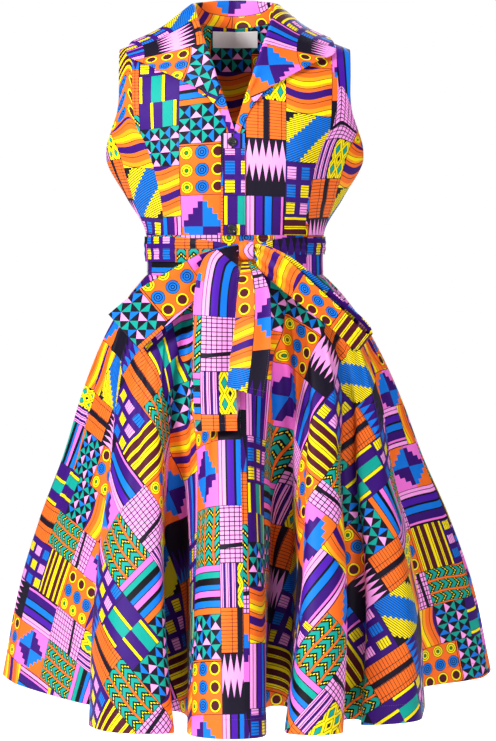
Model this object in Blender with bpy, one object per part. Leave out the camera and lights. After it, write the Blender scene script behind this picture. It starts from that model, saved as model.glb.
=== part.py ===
"""A sleeveless shirt dress of printed cotton, in the hollow shape it has when worn.

Metres, +Z up. The wearer faces -Y. The origin lies midway between the shoulder tips,
at their height, where the wearer's shoulders hold the dress up.
"""

import math
from collections import namedtuple

import bmesh
import bpy
from mathutils import Vector

MM = 0.001

# Cloth and seams
CLOTH = 1.6 * MM
FOLDED_CLOTH = 2.0 * MM
SEAM_GAP = 0.3 * MM
LAYER_GAP = 0.8 * MM

# Heights, from the shoulder tips
NECK_POINT_Z = 0.040
BACK_NECK_Z = 0.036
V_BOTTOM_Z = -0.130
UNDERARM_Z = -0.161
BELT_TOP_Z = -0.270
BELT_MIDDLE_Z = -0.299
BELT_BOTTOM_Z = -0.327
HEM_Z = -0.932

# Widths, from the middle of the dress
NECK_POINT_X = 0.060
SHOULDER_TIP_X = 0.167
SHOULDER_ROUND = 0.090
RIDGE_Y = 0.005

# The figure that the bodice is cut for
FigureRow = namedtuple("FigureRow", "z half_width front back")
FIGURE = (
    FigureRow(0.065, 0.195, 0.070, 0.074),
    FigureRow(0.000, 0.195, 0.088, 0.087),
    FigureRow(-0.060, 0.195, 0.104, 0.097),
    FigureRow(-0.110, 0.194, 0.113, 0.101),
    FigureRow(UNDERARM_Z, 0.187, 0.118, 0.099),
    FigureRow(-0.215, 0.158, 0.112, 0.092),
    FigureRow(BELT_TOP_Z, 0.1295, 0.103, 0.086),
    FigureRow(BELT_MIDDLE_Z, 0.1285, 0.102, 0.085),
    FigureRow(BELT_BOTTOM_Z, 0.1290, 0.103, 0.086),
)
BUST_X = 0.082
BUST_Z = -0.160
BUST_RISE = 0.019
BUST_INNER_SPREAD = 0.095
BUST_OUTER_SPREAD = 0.052
BUST_HEIGHT_SPREAD = 0.058

# Cutting lines of the bodice, as x against height
LineRow = namedtuple("LineRow", "z x")
NECK_EDGE = (
    LineRow(NECK_POINT_Z, NECK_POINT_X),
    LineRow(0.010, 0.048),
    LineRow(-0.020, 0.036),
    LineRow(-0.045, 0.026),
    LineRow(-0.070, 0.017),
    LineRow(-0.100, 0.008),
    LineRow(V_BOTTOM_Z, SEAM_GAP),
    LineRow(-0.180, SEAM_GAP),
    LineRow(BELT_TOP_Z, SEAM_GAP),
)
PRINCESS_SEAM = (
    LineRow(0.010, 0.146),
    LineRow(-0.060, 0.146),
    LineRow(-0.110, 0.141),
    LineRow(-0.145, 0.124),
    LineRow(-0.190, 0.110),
    LineRow(-0.240, 0.102),
    LineRow(BELT_TOP_Z, 0.101),
)
ARMHOLE_EDGE = (
    LineRow(0.000, SHOULDER_TIP_X),
    LineRow(-0.040, 0.166),
    LineRow(-0.070, 0.165),
    LineRow(-0.092, 0.167),
    LineRow(-0.118, 0.176),
    LineRow(-0.146, 0.1855),
    LineRow(UNDERARM_Z, 0.187),
)
BACK_NECK_LINE = (
    LineRow(NECK_POINT_Z, NECK_POINT_X),
    LineRow(-0.100, 0.052),
    LineRow(BELT_TOP_Z, 0.046),
)

# Hem of the skirt from above: each fold's tip, how round it is, and which way it points
FoldRow = namedtuple("FoldRow", "name x y round_off outward")
HEM_FOLDS = (
    FoldRow("side_right", -0.350, 0.040, 0.050, True),
    FoldRow("dip_right", -0.192, -0.140, 0.022, False),
    FoldRow("front_column_right", -0.153, -0.336, 0.071, True),
    FoldRow("dip_right_of_middle", -0.078, -0.172, 0.024, False),
    FoldRow("front_column_middle", -0.011, -0.372, 0.050, True),
    FoldRow("deep_dip", 0.056, -0.140, 0.018, False),
    FoldRow("front_column_left", 0.112, -0.360, 0.040, True),
    FoldRow("shallow_dip_left", 0.150, -0.215, 0.022, False),
    FoldRow("front_panel_left", 0.243, -0.238, 0.070, True),
    FoldRow("dip_left", 0.262, -0.050, 0.026, False),
    FoldRow("side_left", 0.388, 0.070, 0.045, True),
    FoldRow("dip_behind_left", 0.262, 0.118, 0.026, False),
    FoldRow("back_column_left", 0.280, 0.272, 0.048, True),
    FoldRow("back_dip_left", 0.160, 0.178, 0.026, False),
    FoldRow("back_column_inner_left", 0.128, 0.350, 0.044, True),
    FoldRow("back_dip_middle_left", 0.062, 0.186, 0.022, False),
    FoldRow("back_column_middle", -0.004, 0.372, 0.046, True),
    FoldRow("back_dip_middle_right", -0.070, 0.184, 0.022, False),
    FoldRow("back_column_inner_right", -0.138, 0.348, 0.044, True),
    FoldRow("back_dip_right", -0.166, 0.180, 0.026, False),
    FoldRow("back_column_right", -0.274, 0.262, 0.048, True),
    FoldRow("dip_behind_right", -0.252, 0.112, 0.026, False),
)
SeamRow = namedtuple("SeamRow", "name fold shift waist_angle")
SKIRT_SEAMS = (
    SeamRow("side_right", "side_right", -0.030, -90),
    SeamRow("centre_front", "front_column_middle", 0.026, 0),
    SeamRow("side_left", "side_left", -0.030, 90),
    SeamRow("centre_back", "back_column_middle", 0.0, 180),
)
MEAN_HEM_CENTRE = Vector((0.022, 0.000))
# A fold that stands out carries its hem this much higher for each metre out
HEM_RISE = 0.16
MEAN_HEM_RADII = Vector((0.352, 0.268))
# How far the skirt has spread, and how deep its folds are, at each share of its length
FlareRow = namedtuple("FlareRow", "share spread fold")
FLARE = (
    FlareRow(0.00, 0.00, 0.00),
    FlareRow(0.05, 0.12, 0.02),
    FlareRow(0.15, 0.29, 0.09),
    FlareRow(0.30, 0.46, 0.24),
    FlareRow(0.45, 0.59, 0.42),
    FlareRow(0.60, 0.745, 0.59),
    FlareRow(0.80, 0.905, 0.81),
    FlareRow(1.00, 1.00, 1.00),
)
SKIRT_COLUMNS = 36
SKIRT_SHARES = (0.0, 0.04, 0.10, 0.18, 0.29, 0.42, 0.57, 0.73, 0.87, 1.0)

# Collar: where its stand leaves the neck edge, how far it stands up and which way, and
# where its outer edge lies. A run is the way over the shoulder from the ridge, to the
# front if it is less than 0.
CollarRow = namedtuple(
    "CollarRow", "name at neck_x neck_run lift stand lean edge_x edge_run"
)
COLLAR_LIFT = 5.2 * MM
COLLAR_ROLL = 3.6 * MM
COLLAR = (
    CollarRow("break", 0, 0.0180, -0.180, 3.4 * MM, 5.5 * MM, 20, 0.0290, -0.192),
    CollarRow("lower_front", 1, 0.0225, -0.1634, 3.4 * MM, 8 * MM, 24, 0.044, -0.1690),
    CollarRow("mid_front", 2, 0.0285, -0.141, 3.4 * MM, 11 * MM, 30, 0.080, -0.1360),
    CollarRow("upper_front", 3, 0.038, -0.1131, 3.0 * MM, 14.5 * MM, 38, 0.120, -0.1000),
    CollarRow("tip", 4, 0.048, -0.0816, 2.4 * MM, 19 * MM, 52, 0.153, -0.0580),
    CollarRow("shoulder", 5, 0.0565, -0.0435, 1.6 * MM, 22 * MM, 70, 0.147, -0.0120),
    CollarRow("neck_point", 6, 0.0598, 0.000, 1.2 * MM, 25 * MM, 82, 0.131, 0.0360),
    CollarRow("back_shoulder", 7, 0.046, 0.034, 1.0 * MM, 32.5 * MM, 88, 0.096, 0.0867),
    CollarRow("back_inner", 8, 0.025, 0.0546, 1.0 * MM, 39 * MM, 90, 0.050, 0.1063),
    CollarRow("centre_back", 9, 0.000, 0.0709, 1.0 * MM, 42 * MM, 90, 0.000, 0.1200),
)
COLLAR_LEFT_REACH = 0.93
# How the fall comes down from the roll: its height above the dress at shares of the way
FallRow = namedtuple("FallRow", "share height")
COLLAR_FALL = (
    FallRow(0.30, 0.42),
    FallRow(0.48, 0.20),
    FallRow(0.66, 0.08),
    FallRow(0.84, 0.02),
    FallRow(1.00, 0.00),
)

# Lapel: the strip of the front's edge that is turned out, down to the foot of the V
LapelRow = namedtuple("LapelRow", "z width")
LAPEL = (
    LapelRow(-0.1285, 0.0075),
    LapelRow(-0.115, 0.0090),
    LapelRow(-0.100, 0.0110),
    LapelRow(-0.085, 0.0150),
    LapelRow(-0.072, 0.0240),
    LapelRow(-0.060, 0.0330),
    LapelRow(-0.046, 0.0240),
    LapelRow(-0.034, 0.0120),
)

# Placket and buttons
PLACKET_EDGES = (-0.0187, 0.0148)
BUTTON_X = -0.0035
BUTTON_RADIUS = 6.8 * MM
BUTTON_THICKNESS = 2.6 * MM
BUTTON_SHANK = 1.3 * MM
BUTTON_HEIGHTS = {"button_upper": -0.1425, "button_lower": -0.261}

# Sash: its stretch round the waist, by the angle from the middle of the front
SashRow = namedtuple("SashRow", "angle top bottom")
SASH_ROUND_WAIST = (
    SashRow(14.0, -0.2830, -0.3010),
    SashRow(26.0, -0.2760, -0.2990),
    SashRow(50.0, -0.2725, -0.2975),
    SashRow(90.0, -0.2715, -0.2975),
    SashRow(180.0, -0.2720, -0.3030),
    SashRow(270.0, -0.2715, -0.3075),
    SashRow(320.0, -0.2725, -0.3085),
    SashRow(345.0, -0.2780, -0.3040),
    SashRow(361.5, -0.2840, -0.3000),
)
KNOT_CENTRE = Vector((0.0165, -0.1139, -0.2920))
KNOT_WIDTH = 0.0200
KNOT_HEIGHT = 0.0290
KNOT_DEPTH = 0.0245

# Each loop of the bow from the knot outwards: the middle of the sash, its width, which way
# that width runs, and how far apart its two layers are
LoopRow = namedtuple("LoopRow", "x y z width slope tilt parting")
LOOP_RIGHT = (
    LoopRow(0.0050, -0.1155, -0.2910, 0.017, 82, 0, 6 * MM),
    LoopRow(-0.0150, -0.1215, -0.3005, 0.027, 66, 5, 9 * MM),
    LoopRow(-0.0430, -0.1320, -0.3180, 0.044, 58, 8, 13 * MM),
    LoopRow(-0.0800, -0.1430, -0.3460, 0.056, 53, 6, 15 * MM),
    LoopRow(-0.1150, -0.1440, -0.3720, 0.063, 50, 2, 15 * MM),
    LoopRow(-0.1480, -0.1370, -0.4010, 0.066, 48, -3, 12 * MM),
)
LOOP_LEFT = (
    LoopRow(0.0292, -0.1155, -0.2910, 0.016, 92, 4, 6 * MM),
    LoopRow(0.0440, -0.1270, -0.3030, 0.034, 112, 18, 9 * MM),
    LoopRow(0.0720, -0.1440, -0.3230, 0.044, 118, 34, 12 * MM),
    LoopRow(0.1090, -0.1560, -0.3530, 0.046, 121, 46, 14 * MM),
    LoopRow(0.1450, -0.1560, -0.3820, 0.046, 122, 52, 15 * MM),
    LoopRow(0.1780, -0.1460, -0.4130, 0.045, 121, 54, 14 * MM),
)

# Each hanging end, from the knot down: its two edges and how far it stands forward
TailRow = namedtuple("TailRow", "left_x left_z right_x right_z y curl")
TAIL_RIGHT = (
    TailRow(0.0050, -0.2840, 0.0061, -0.3020, -0.1228, 0.0),
    TailRow(-0.0160, -0.2880, 0.0056, -0.3110, -0.1390, 1 * MM),
    TailRow(-0.0390, -0.2990, 0.0064, -0.3200, -0.1490, 2 * MM),
    TailRow(-0.0500, -0.3240, 0.0058, -0.3390, -0.1570, 4 * MM),
    TailRow(-0.0555, -0.3620, 0.0045, -0.3680, -0.1680, 5 * MM),
    TailRow(-0.0560, -0.4120, 0.0035, -0.4140, -0.1850, 5 * MM),
    TailRow(-0.0555, -0.4720, 0.0030, -0.4730, -0.2070, 4 * MM),
    TailRow(-0.0520, -0.5340, 0.0045, -0.5330, -0.2300, 3 * MM),
)
TAIL_LEFT = (
    TailRow(0.0105, -0.3067, 0.0225, -0.3067, -0.1180, 0.0),
    TailRow(0.0090, -0.3150, 0.0290, -0.3140, -0.1400, 1 * MM),
    TailRow(0.0070, -0.3290, 0.0380, -0.3230, -0.1600, 2 * MM),
    TailRow(0.0040, -0.3560, 0.0480, -0.3480, -0.1790, 5 * MM),
    TailRow(0.0000, -0.4000, 0.0500, -0.3920, -0.1990, 6 * MM),
    TailRow(-0.0060, -0.4430, 0.0480, -0.4400, -0.2200, 5 * MM),
    TailRow(-0.0090, -0.4730, 0.0400, -0.4880, -0.2360, 4 * MM),
)

# Neck label
LABEL_WIDTH = 0.068
LABEL_TOP_Z = 0.0340
LABEL_BOTTOM_Z = 0.0120
LABEL_THICKNESS = 1.0 * MM

COLOURS = {
    "print": ((0.55, 0.16, 0.30, 1), 0.75),
    "button": ((0.012, 0.012, 0.014, 1), 0.35),
    "label": ((0.75, 0.75, 0.73, 1), 0.8),
}


# Tables and curves


def read(table, key, wanted, at):
    """The column wanted of a table where its column key is at, along a smooth curve."""
    rows = sorted(table, key=lambda row: getattr(row, key))
    keys = [getattr(row, key) for row in rows]
    values = [getattr(row, wanted) for row in rows]
    if at <= keys[0]:
        return values[0]
    if at >= keys[-1]:
        return values[-1]
    i = max(n for n in range(len(keys) - 1) if keys[n] <= at)
    span = keys[i + 1] - keys[i]
    t = (at - keys[i]) / span
    rise = (values[i + 1] - values[i]) / span
    before = (values[i] - values[i - 1]) / (keys[i] - keys[i - 1]) if i else rise
    last = i + 2 >= len(keys)
    after = rise if last else (values[i + 2] - values[i + 1]) / (keys[i + 2] - keys[i + 1])
    start = 0.0 if before * rise <= 0 else 2 * before * rise / (before + rise)
    end = 0.0 if after * rise <= 0 else 2 * after * rise / (after + rise)
    return (
        (1 + 2 * t) * (1 - t) ** 2 * values[i]
        + t * (1 - t) ** 2 * span * start
        + t * t * (3 - 2 * t) * values[i + 1]
        + t * t * (t - 1) * span * end
    )


def mix(a, b, share):
    return a + (b - a) * share


def spline(points, per_span, closed):
    """Points along a smooth curve through the given points, even where they lie unevenly."""
    count = len(points)
    out = []
    for i in range(count if closed else count - 1):
        if closed:
            around = [points[(i + k) % count] for k in (-1, 0, 1, 2)]
        else:
            around = [points[min(max(i + k, 0), count - 1)] for k in (-1, 0, 1, 2)]
        gaps = [max((b - a).length, 1e-6) ** 0.5 for a, b in zip(around, around[1:])]
        if not closed and i == 0:
            gaps[0] = gaps[1]
        if not closed and i == count - 2:
            gaps[2] = gaps[1]
        a, b, c, d = around
        start = ((b - a) / gaps[0] - (c - a) / (gaps[0] + gaps[1]) + (c - b) / gaps[1]) * gaps[1]
        end = ((c - b) / gaps[1] - (d - b) / (gaps[1] + gaps[2]) + (d - c) / gaps[2]) * gaps[1]
        for step in range(per_span):
            t = step / per_span
            out.append(b * (1 + 2 * t) * (1 - t) ** 2 + start * t * (1 - t) ** 2
                       + c * t * t * (3 - 2 * t) + end * t * t * (t - 1))
    if not closed:
        out.append(points[-1].copy())
    return out


# The figure


def ridge_z(x):
    """Height of the shoulder ridge, which slopes from the neck to the shoulder tip."""
    slope = NECK_POINT_Z / (SHOULDER_TIP_X - NECK_POINT_X)
    return slope * (SHOULDER_TIP_X - abs(x))


def figure_depth(x, z, side):
    """How far the figure reaches to the front (side -1) or back (side 1) of the ridge."""
    drop = max(0.0, ridge_z(x) - z)
    if abs(x) > SHOULDER_TIP_X:
        drop = max(drop, -z)
    rounding = 1.0
    if drop < SHOULDER_ROUND:
        rounding = math.sqrt(max(0.0, 1 - (1 - drop / SHOULDER_ROUND) ** 2))
    across = min(1.0, abs(x) / read(FIGURE, "z", "half_width", z))
    depth = read(FIGURE, "z", "front" if side < 0 else "back", z)
    depth *= rounding * math.sqrt(1 - across * across)
    if side < 0:
        spread = BUST_INNER_SPREAD if abs(x) < BUST_X else BUST_OUTER_SPREAD
        bump = math.exp(-(((abs(x) - BUST_X) / spread) ** 2))
        bump *= math.exp(-(((z - BUST_Z) / BUST_HEIGHT_SPREAD) ** 2))
        depth += BUST_RISE * bump * math.sqrt(1 - across * across)
    return depth


def on_figure(angle, z, side):
    """A point of the figure at a height, by its angle from the middle to the side seam."""
    if abs(angle) > math.pi / 2:
        side = -side
    return figure_point(read(FIGURE, "z", "half_width", z) * math.sin(angle), z, side)


def figure_point(x, z, side):
    ridge = RIDGE_Y * min(1.0, max(0.0, 1 - (ridge_z(x) - z) / SHOULDER_ROUND))
    return Vector((x, ridge + side * (SEAM_GAP / 2 + figure_depth(x, z, side)), z))


def figure_normal(x, z, side, step=0.0005):
    """Straight out of the figure, from how the square of its depth changes."""
    z = min(z, ridge_z(x) - step)
    wider = figure_depth(x + step, z, side) ** 2 - figure_depth(x - step, z, side) ** 2
    higher = figure_depth(x, z + step, side) ** 2 - figure_depth(x, z - step, side) ** 2
    depth = figure_depth(x, z, side)
    return Vector((-wider / 2 / step, 2 * side * depth, -higher / 2 / step)).normalized()


def lifted(x, z, side, lift):
    return figure_point(x, z, side) + figure_normal(x, z, side) * lift


def over_shoulder(x, run, lift):
    """A point above the figure, by how far it lies from the shoulder ridge."""
    turned = min(abs(run), SHOULDER_ROUND * math.pi / 2)
    drop = SHOULDER_ROUND * (1 - math.cos(turned / SHOULDER_ROUND)) + abs(run) - turned
    side = -1 if run < 0 else 1
    return lifted(x, ridge_z(x) - drop, side, lift)


def angle_of(x, z):
    return math.asin(max(-1.0, min(1.0, x / read(FIGURE, "z", "half_width", z))))


# Making solids


def material(name):
    made = bpy.data.materials.get(name) or bpy.data.materials.new(name)
    colour, roughness = COLOURS[name]
    made.use_nodes = True
    shader = made.node_tree.nodes["Principled BSDF"]
    shader.inputs["Base Color"].default_value = colour
    shader.inputs["Roughness"].default_value = roughness
    made.diffuse_color = colour
    return made


def mesh_object(name, vertices, faces, finish):
    mesh = bpy.data.meshes.new(name)
    mesh.from_pydata([tuple(v) for v in vertices], [], faces)
    mesh.validate()
    obj = bpy.data.objects.new(name, mesh)
    bpy.context.scene.collection.objects.link(obj)
    mesh.materials.append(material(finish))
    mesh.shade_smooth()
    return obj


def normals_of(grid, closed):
    """The normal at each point of a grid of rows."""
    found = []
    for j, row in enumerate(grid):
        line = []
        count = len(row)
        for i in range(count):
            if closed:
                along = row[(i + 1) % count] - row[i - 1]
            else:
                along = row[min(i + 1, count - 1)] - row[max(i - 1, 0)]
            down = grid[min(j + 1, len(grid) - 1)][i] - grid[max(j - 1, 0)][i]
            line.append(along.cross(down).normalized())
        found.append(line)
    return found


def cloth_wall(name, grid, thickness, out, finish="print", spare=(0, 0, 0, 0), closed=False):
    """A closed wall of even thickness whose outer face is the grid. Out points out of it
    at the grid's middle. Spare rows and columns at the top, bottom, start and end only
    steer the normals, so that the walls of two neighbours meet at their seam."""
    normals = normals_of(grid, closed)
    inward = -thickness if normals[len(grid) // 2][len(grid[0]) // 2].dot(out) > 0 else thickness
    rows = range(spare[0], len(grid) - spare[1])
    columns = range(spare[2], len(grid[0]) - spare[3])
    outer = [grid[j][i] for j in rows for i in columns]
    inner = [grid[j][i] + normals[j][i] * inward for j in rows for i in columns]
    width, height, shift = len(columns), len(rows), len(outer)
    faces = []
    spans = width if closed else width - 1
    for j in range(height - 1):
        for i in range(spans):
            a, b = j * width + i, j * width + (i + 1) % width
            c, d = b + width, a + width
            faces.append((a, d, c, b))
            faces.append((shift + a, shift + b, shift + c, shift + d))
    for i in range(spans):
        a, b = i, (i + 1) % width
        faces.append((a, b, shift + b, shift + a))
        a, b = (height - 1) * width + i, (height - 1) * width + (i + 1) % width
        faces.append((b, a, shift + a, shift + b))
    if not closed:
        for j in range(height - 1):
            a, d = j * width, (j + 1) * width
            faces.append((d, a, shift + a, shift + d))
            b, c = j * width + width - 1, (j + 1) * width + width - 1
            faces.append((b, c, shift + c, shift + b))
    obj = mesh_object(name, outer + inner, faces, finish)
    face_out(obj)
    return obj


def face_out(obj):
    bm = bmesh.new()
    bm.from_mesh(obj.data)
    bmesh.ops.recalc_face_normals(bm, faces=bm.faces)
    if bm.calc_volume(signed=True) < 0:
        bmesh.ops.reverse_faces(bm, faces=bm.faces)
    bm.to_mesh(obj.data)
    bm.free()


# Bodice


def drop_shares(bottom, count_round, count_below):
    """Shares of the way from the ridge to the bottom, close together over the shoulder."""
    total = ridge_z(NECK_POINT_X) - bottom
    turn = SHOULDER_ROUND / total
    shares = [turn * (1 - math.cos(math.pi / 2 * k / count_round)) for k in range(count_round)]
    return shares + [turn + (1 - turn) * k / count_below for k in range(count_below + 1)]


def line_x(line, z):
    if line is ARMHOLE_EDGE and z < UNDERARM_Z:
        return read(FIGURE, "z", "half_width", z)
    return read(line, "z", "x", z)


def bodice_row(lines, counts, share, side, hand, trims):
    """One row of a bodice panel from its inner cutting line to its outer one, with one
    spare point beyond each."""
    row = []
    for n, count in enumerate(counts):
        ends = []
        for line, top in lines[n:n + 2]:
            z = mix(top, BELT_TOP_Z + SEAM_GAP / 2, share)
            ends.append((angle_of(line_x(line, z), z), z))
        (angle_in, z_in), (angle_out, z_out) = ends
        if n == 0:
            angle_in += trims[0]
        last = n == len(counts) - 1
        if last:
            angle_out -= trims[1]
        half = read(FIGURE, "z", "half_width", (z_in + z_out) / 2)
        ridges = [ridge_z(half * math.sin(angle)) for angle in (angle_in, angle_out)]
        for k in range(-1 if n == 0 else 0, count + 2 if last else count):
            f = k / count
            angle, z = mix(angle_in, angle_out, f), mix(z_in, z_out, f)
            ridge = ridge_z(half * math.sin(angle))
            z += (ridge - mix(*ridges, f)) * max(0.0, 1 - max(0.0, ridge - z) / SHOULDER_ROUND)
            row.append(on_figure(hand * angle, z, side))
    return row


def bodice_grid(lines, counts, side, hand, trims):
    """The rows of a panel from the shoulder seam down, with a spare one beyond the seam."""
    shares = drop_shares(BELT_TOP_Z, 7, 8)
    grid = [bodice_row(lines, counts, shares[1], -side, hand, trims)]
    return grid + [bodice_row(lines, counts, share, side, hand, trims) for share in shares]


def bodice_panels():
    half_seam = SEAM_GAP / 2 / 0.13
    princess = (PRINCESS_SEAM, ridge_z(0.146))
    front = Vector((0, -1, 0))
    for hand, label in ((-1, "right"), (1, "left")):
        lines = ((NECK_EDGE, NECK_POINT_Z), princess)
        grid = bodice_grid(lines, (10,), -1, hand, (0.0, half_seam))
        cloth_wall("front_" + label, grid, CLOTH, front, spare=(1, 0, 1, 1))
        lines = (princess, (ARMHOLE_EDGE, 0.0))
        grid = bodice_grid(lines, (5,), -1, hand, (half_seam, 0.0))
        cloth_wall("side_front_" + label, grid, CLOTH, front, spare=(1, 0, 1, 1))
    middle = ((LineRow(BACK_NECK_Z, 0.0), LineRow(BELT_TOP_Z, 0.0)), BACK_NECK_Z)
    lines = (middle, (BACK_NECK_LINE, NECK_POINT_Z), (ARMHOLE_EDGE, 0.0))
    left = bodice_grid(lines, (4, 8), 1, 1, (0.0, 0.0))
    right = bodice_grid(lines, (4, 8), 1, -1, (0.0, 0.0))
    grid = [r[:1:-1] + l[1:] for r, l in zip(right, left)]
    cloth_wall("back_bodice", grid, CLOTH, Vector((0, 1, 0)), spare=(1, 0, 1, 1))


# Collar and lapels


def collar_section(at, hand):
    """One section of the collar: up its stand, over the roll and down its fall."""
    neck_x, neck_run, lift, stand, lean, edge_x, edge_run = (
        read(COLLAR, "at", wanted, at) for wanted in CollarRow._fields[2:]
    )
    if hand > 0:
        edge_x *= mix(1.0, COLLAR_LEFT_REACH, min(1.0, edge_x / 0.08))
    lean = math.radians(lean)
    up = Vector((0, -math.cos(lean), math.sin(lean)))
    base = over_shoulder(neck_x, neck_run, lift)
    base -= Vector((base.x, base.y, 0)).normalized() * 2.2 * MM * min(1.0, max(0.0, at - 3.5))
    roll = min(COLLAR_ROLL, stand * 0.42)
    fall = over_shoulder(mix(neck_x, edge_x, 0.4), mix(neck_run, edge_run, 0.4), stand) - base
    out = (fall - up * fall.dot(up)).normalized()
    points = [
        base,
        base + up * (stand - roll) * 0.6,
        base + up * (stand - roll),
        base + up * (stand - roll * 0.3) + out * roll * 0.3,
        base + up * stand + out * roll,
        base + up * (stand - roll * 0.4) + out * roll * 1.9,
    ]
    for row in COLLAR_FALL:
        x, run = mix(neck_x, edge_x, row.share), mix(neck_run, edge_run, row.share)
        points.append(over_shoulder(x, run, COLLAR_LIFT + row.height * stand))
    for point in points:
        point.x *= hand
    return points


def collar(steps=2):
    last = COLLAR[-1].at * steps
    right = [collar_section(n / steps, -1) for n in range(last + 1)]
    left = [collar_section(n / steps, 1) for n in range(last)]
    cloth_wall("collar", right + left[::-1], FOLDED_CLOTH, Vector((0, 0.3, 1)))


def lapels():
    lift = 0.7 * MM + CLOTH
    for hand, label in ((-1, "right"), (1, "left")):
        grid = []
        for row in LAPEL:
            start = line_x(NECK_EDGE, row.z)
            line = []
            for k in range(4):
                x = start + row.width * k / 3
                z = row.z - 0.25 * row.width * k / 3
                point = lifted(x, z, -1, lift)
                point.x *= hand
                line.append(point)
            grid.append(line)
        cloth_wall("lapel_" + label, grid, CLOTH, Vector((0, -1, 0)))


# Placket, buttons and label


def placket_point(x, z, lift):
    return lifted(x, z, -1, lift)


def placket():
    grid = []
    top, bottom = V_BOTTOM_Z - 0.0005, BELT_TOP_Z + SEAM_GAP / 2
    for j in range(9):
        z = mix(top, bottom, j / 8)
        grid.append([placket_point(mix(*PLACKET_EDGES, i / 4), z, LAYER_GAP + FOLDED_CLOTH)
                     for i in range(5)])
    cloth_wall("placket", grid, FOLDED_CLOTH, Vector((0, -1, 0)))


def buttons():
    """Each button is a low disc with a raised rim, turned to lie flat on the placket."""
    profile = ((0.0, 0.72), (0.62, 0.72), (0.74, 0.98), (0.90, 1.0), (1.0, 0.62), (1.0, 0.2),
               (0.9, 0.0))
    for name, z in BUTTON_HEIGHTS.items():
        out = figure_normal(BUTTON_X, z, -1)
        centre = placket_point(BUTTON_X, z, LAYER_GAP + FOLDED_CLOTH + BUTTON_SHANK)
        side = Vector((0, 0, 1)).cross(out).normalized()
        up = out.cross(side)
        vertices = [centre + out * BUTTON_THICKNESS * profile[0][1], centre]
        count = 20
        for radius, height in profile[1:]:
            for k in range(count):
                angle = 2 * math.pi * k / count
                across = side * math.cos(angle) + up * math.sin(angle)
                vertices.append(centre + across * BUTTON_RADIUS * radius
                                + out * BUTTON_THICKNESS * height)
        faces = []
        rings = len(profile) - 1
        for k in range(count):
            following = (k + 1) % count
            faces.append((0, 2 + k, 2 + following))
            for r in range(rings - 1):
                a, b = 2 + r * count, 2 + (r + 1) * count
                faces.append((a + k, b + k, b + following, a + following))
            last = 2 + (rings - 1) * count
            faces.append((1, last + following, last + k))
        face_out(mesh_object(name, vertices, faces, "button"))


def neck_label():
    grid = []
    for j in range(3):
        z = mix(LABEL_TOP_Z, LABEL_BOTTOM_Z, j / 2)
        grid.append([lifted(mix(-0.5, 0.5, i / 8) * LABEL_WIDTH, z, 1, -CLOTH - 2 * LAYER_GAP)
                     for i in range(9)])
    cloth_wall("neck_label", grid, LABEL_THICKNESS, Vector((0, 1, 0)), "label")


# Waistband and sash


def waist_point(angle, z, out=0.0):
    """The ring round the waist, by its angle from the middle of the front, moved out."""
    x = read(FIGURE, "z", "half_width", z) * math.sin(angle)
    depth = read(FIGURE, "z", "front" if math.cos(angle) > 0 else "back", z)
    point = Vector((x, -depth * math.cos(angle), z))
    return point + Vector((math.sin(angle), -math.cos(angle), 0)) * out


def waistband():
    trim = SEAM_GAP / 2 / 0.12
    stretches = (
        ("waistband_front_right", -90, 0, 10),
        ("waistband_front_left", 0, 90, 10),
        ("waistband_back", 90, 270, 20),
    )
    for name, first, last, count in stretches:
        start, end = math.radians(first) + trim, math.radians(last) - trim
        grid = []
        for z in (BELT_TOP_Z - SEAM_GAP / 2, BELT_MIDDLE_Z, BELT_BOTTOM_Z + SEAM_GAP / 2):
            grid.append([waist_point(mix(start, end, i / count), z)
                         for i in range(-1, count + 2)])
        middle = (start + end) / 2
        out = Vector((math.sin(middle), -math.cos(middle), 0))
        cloth_wall(name, grid, CLOTH, out, spare=(0, 0, 1, 1))


def sash_round_waist(count=48):
    first, last = SASH_ROUND_WAIST[0].angle, SASH_ROUND_WAIST[-1].angle
    out = LAYER_GAP + FOLDED_CLOTH
    grid = []
    for j in range(4):
        line = []
        for i in range(count + 1):
            angle = mix(first, last, i / count)
            top = read(SASH_ROUND_WAIST, "angle", "top", angle)
            bottom = read(SASH_ROUND_WAIST, "angle", "bottom", angle)
            bulge = 1.2 * MM * math.sin(math.pi * j / 3)
            line.append(waist_point(math.radians(angle), mix(top, bottom, j / 3), out + bulge))
        grid.append(line)
    cloth_wall("sash_round_waist", grid, FOLDED_CLOTH, Vector((0, 1, 0)))


def sash_knot():
    """The turn of sash that holds the bow: a ring about the x axis, waisted and rounded."""
    count, rows = 24, 6
    grid = []
    for j in range(rows + 1):
        across = mix(-1, 1, j / rows)
        squeeze = 1 - 0.16 * across * across
        line = []
        for i in range(count):
            angle = 2 * math.pi * i / count
            line.append(KNOT_CENTRE + Vector((
                across * KNOT_WIDTH / 2,
                KNOT_DEPTH / 2 * squeeze * math.copysign(abs(math.cos(angle)) ** 0.8,
                                                         math.cos(angle)),
                KNOT_HEIGHT / 2 * squeeze * math.copysign(abs(math.sin(angle)) ** 0.8,
                                                          math.sin(angle)),
            )))
        grid.append(line)
    out = grid[rows // 2][count // 2] - KNOT_CENTRE
    cloth_wall("sash_knot", grid, FOLDED_CLOTH, out, closed=True)


def loop_frame(start, end, row):
    """The way along the loop from start to end, and across the sash and out of it at a row."""
    along = Vector((end.x - start.x, end.y - start.y, end.z - start.z)).normalized()
    slope, tilt = math.radians(row.slope), math.radians(row.tilt)
    across = Vector((math.cos(slope), 0, -math.sin(slope))) * math.cos(tilt)
    across += Vector((0, 1, 0)) * math.sin(tilt)
    out = along.cross(across).normalized()
    return along, across, out if out.y < 0 else -out


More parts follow.
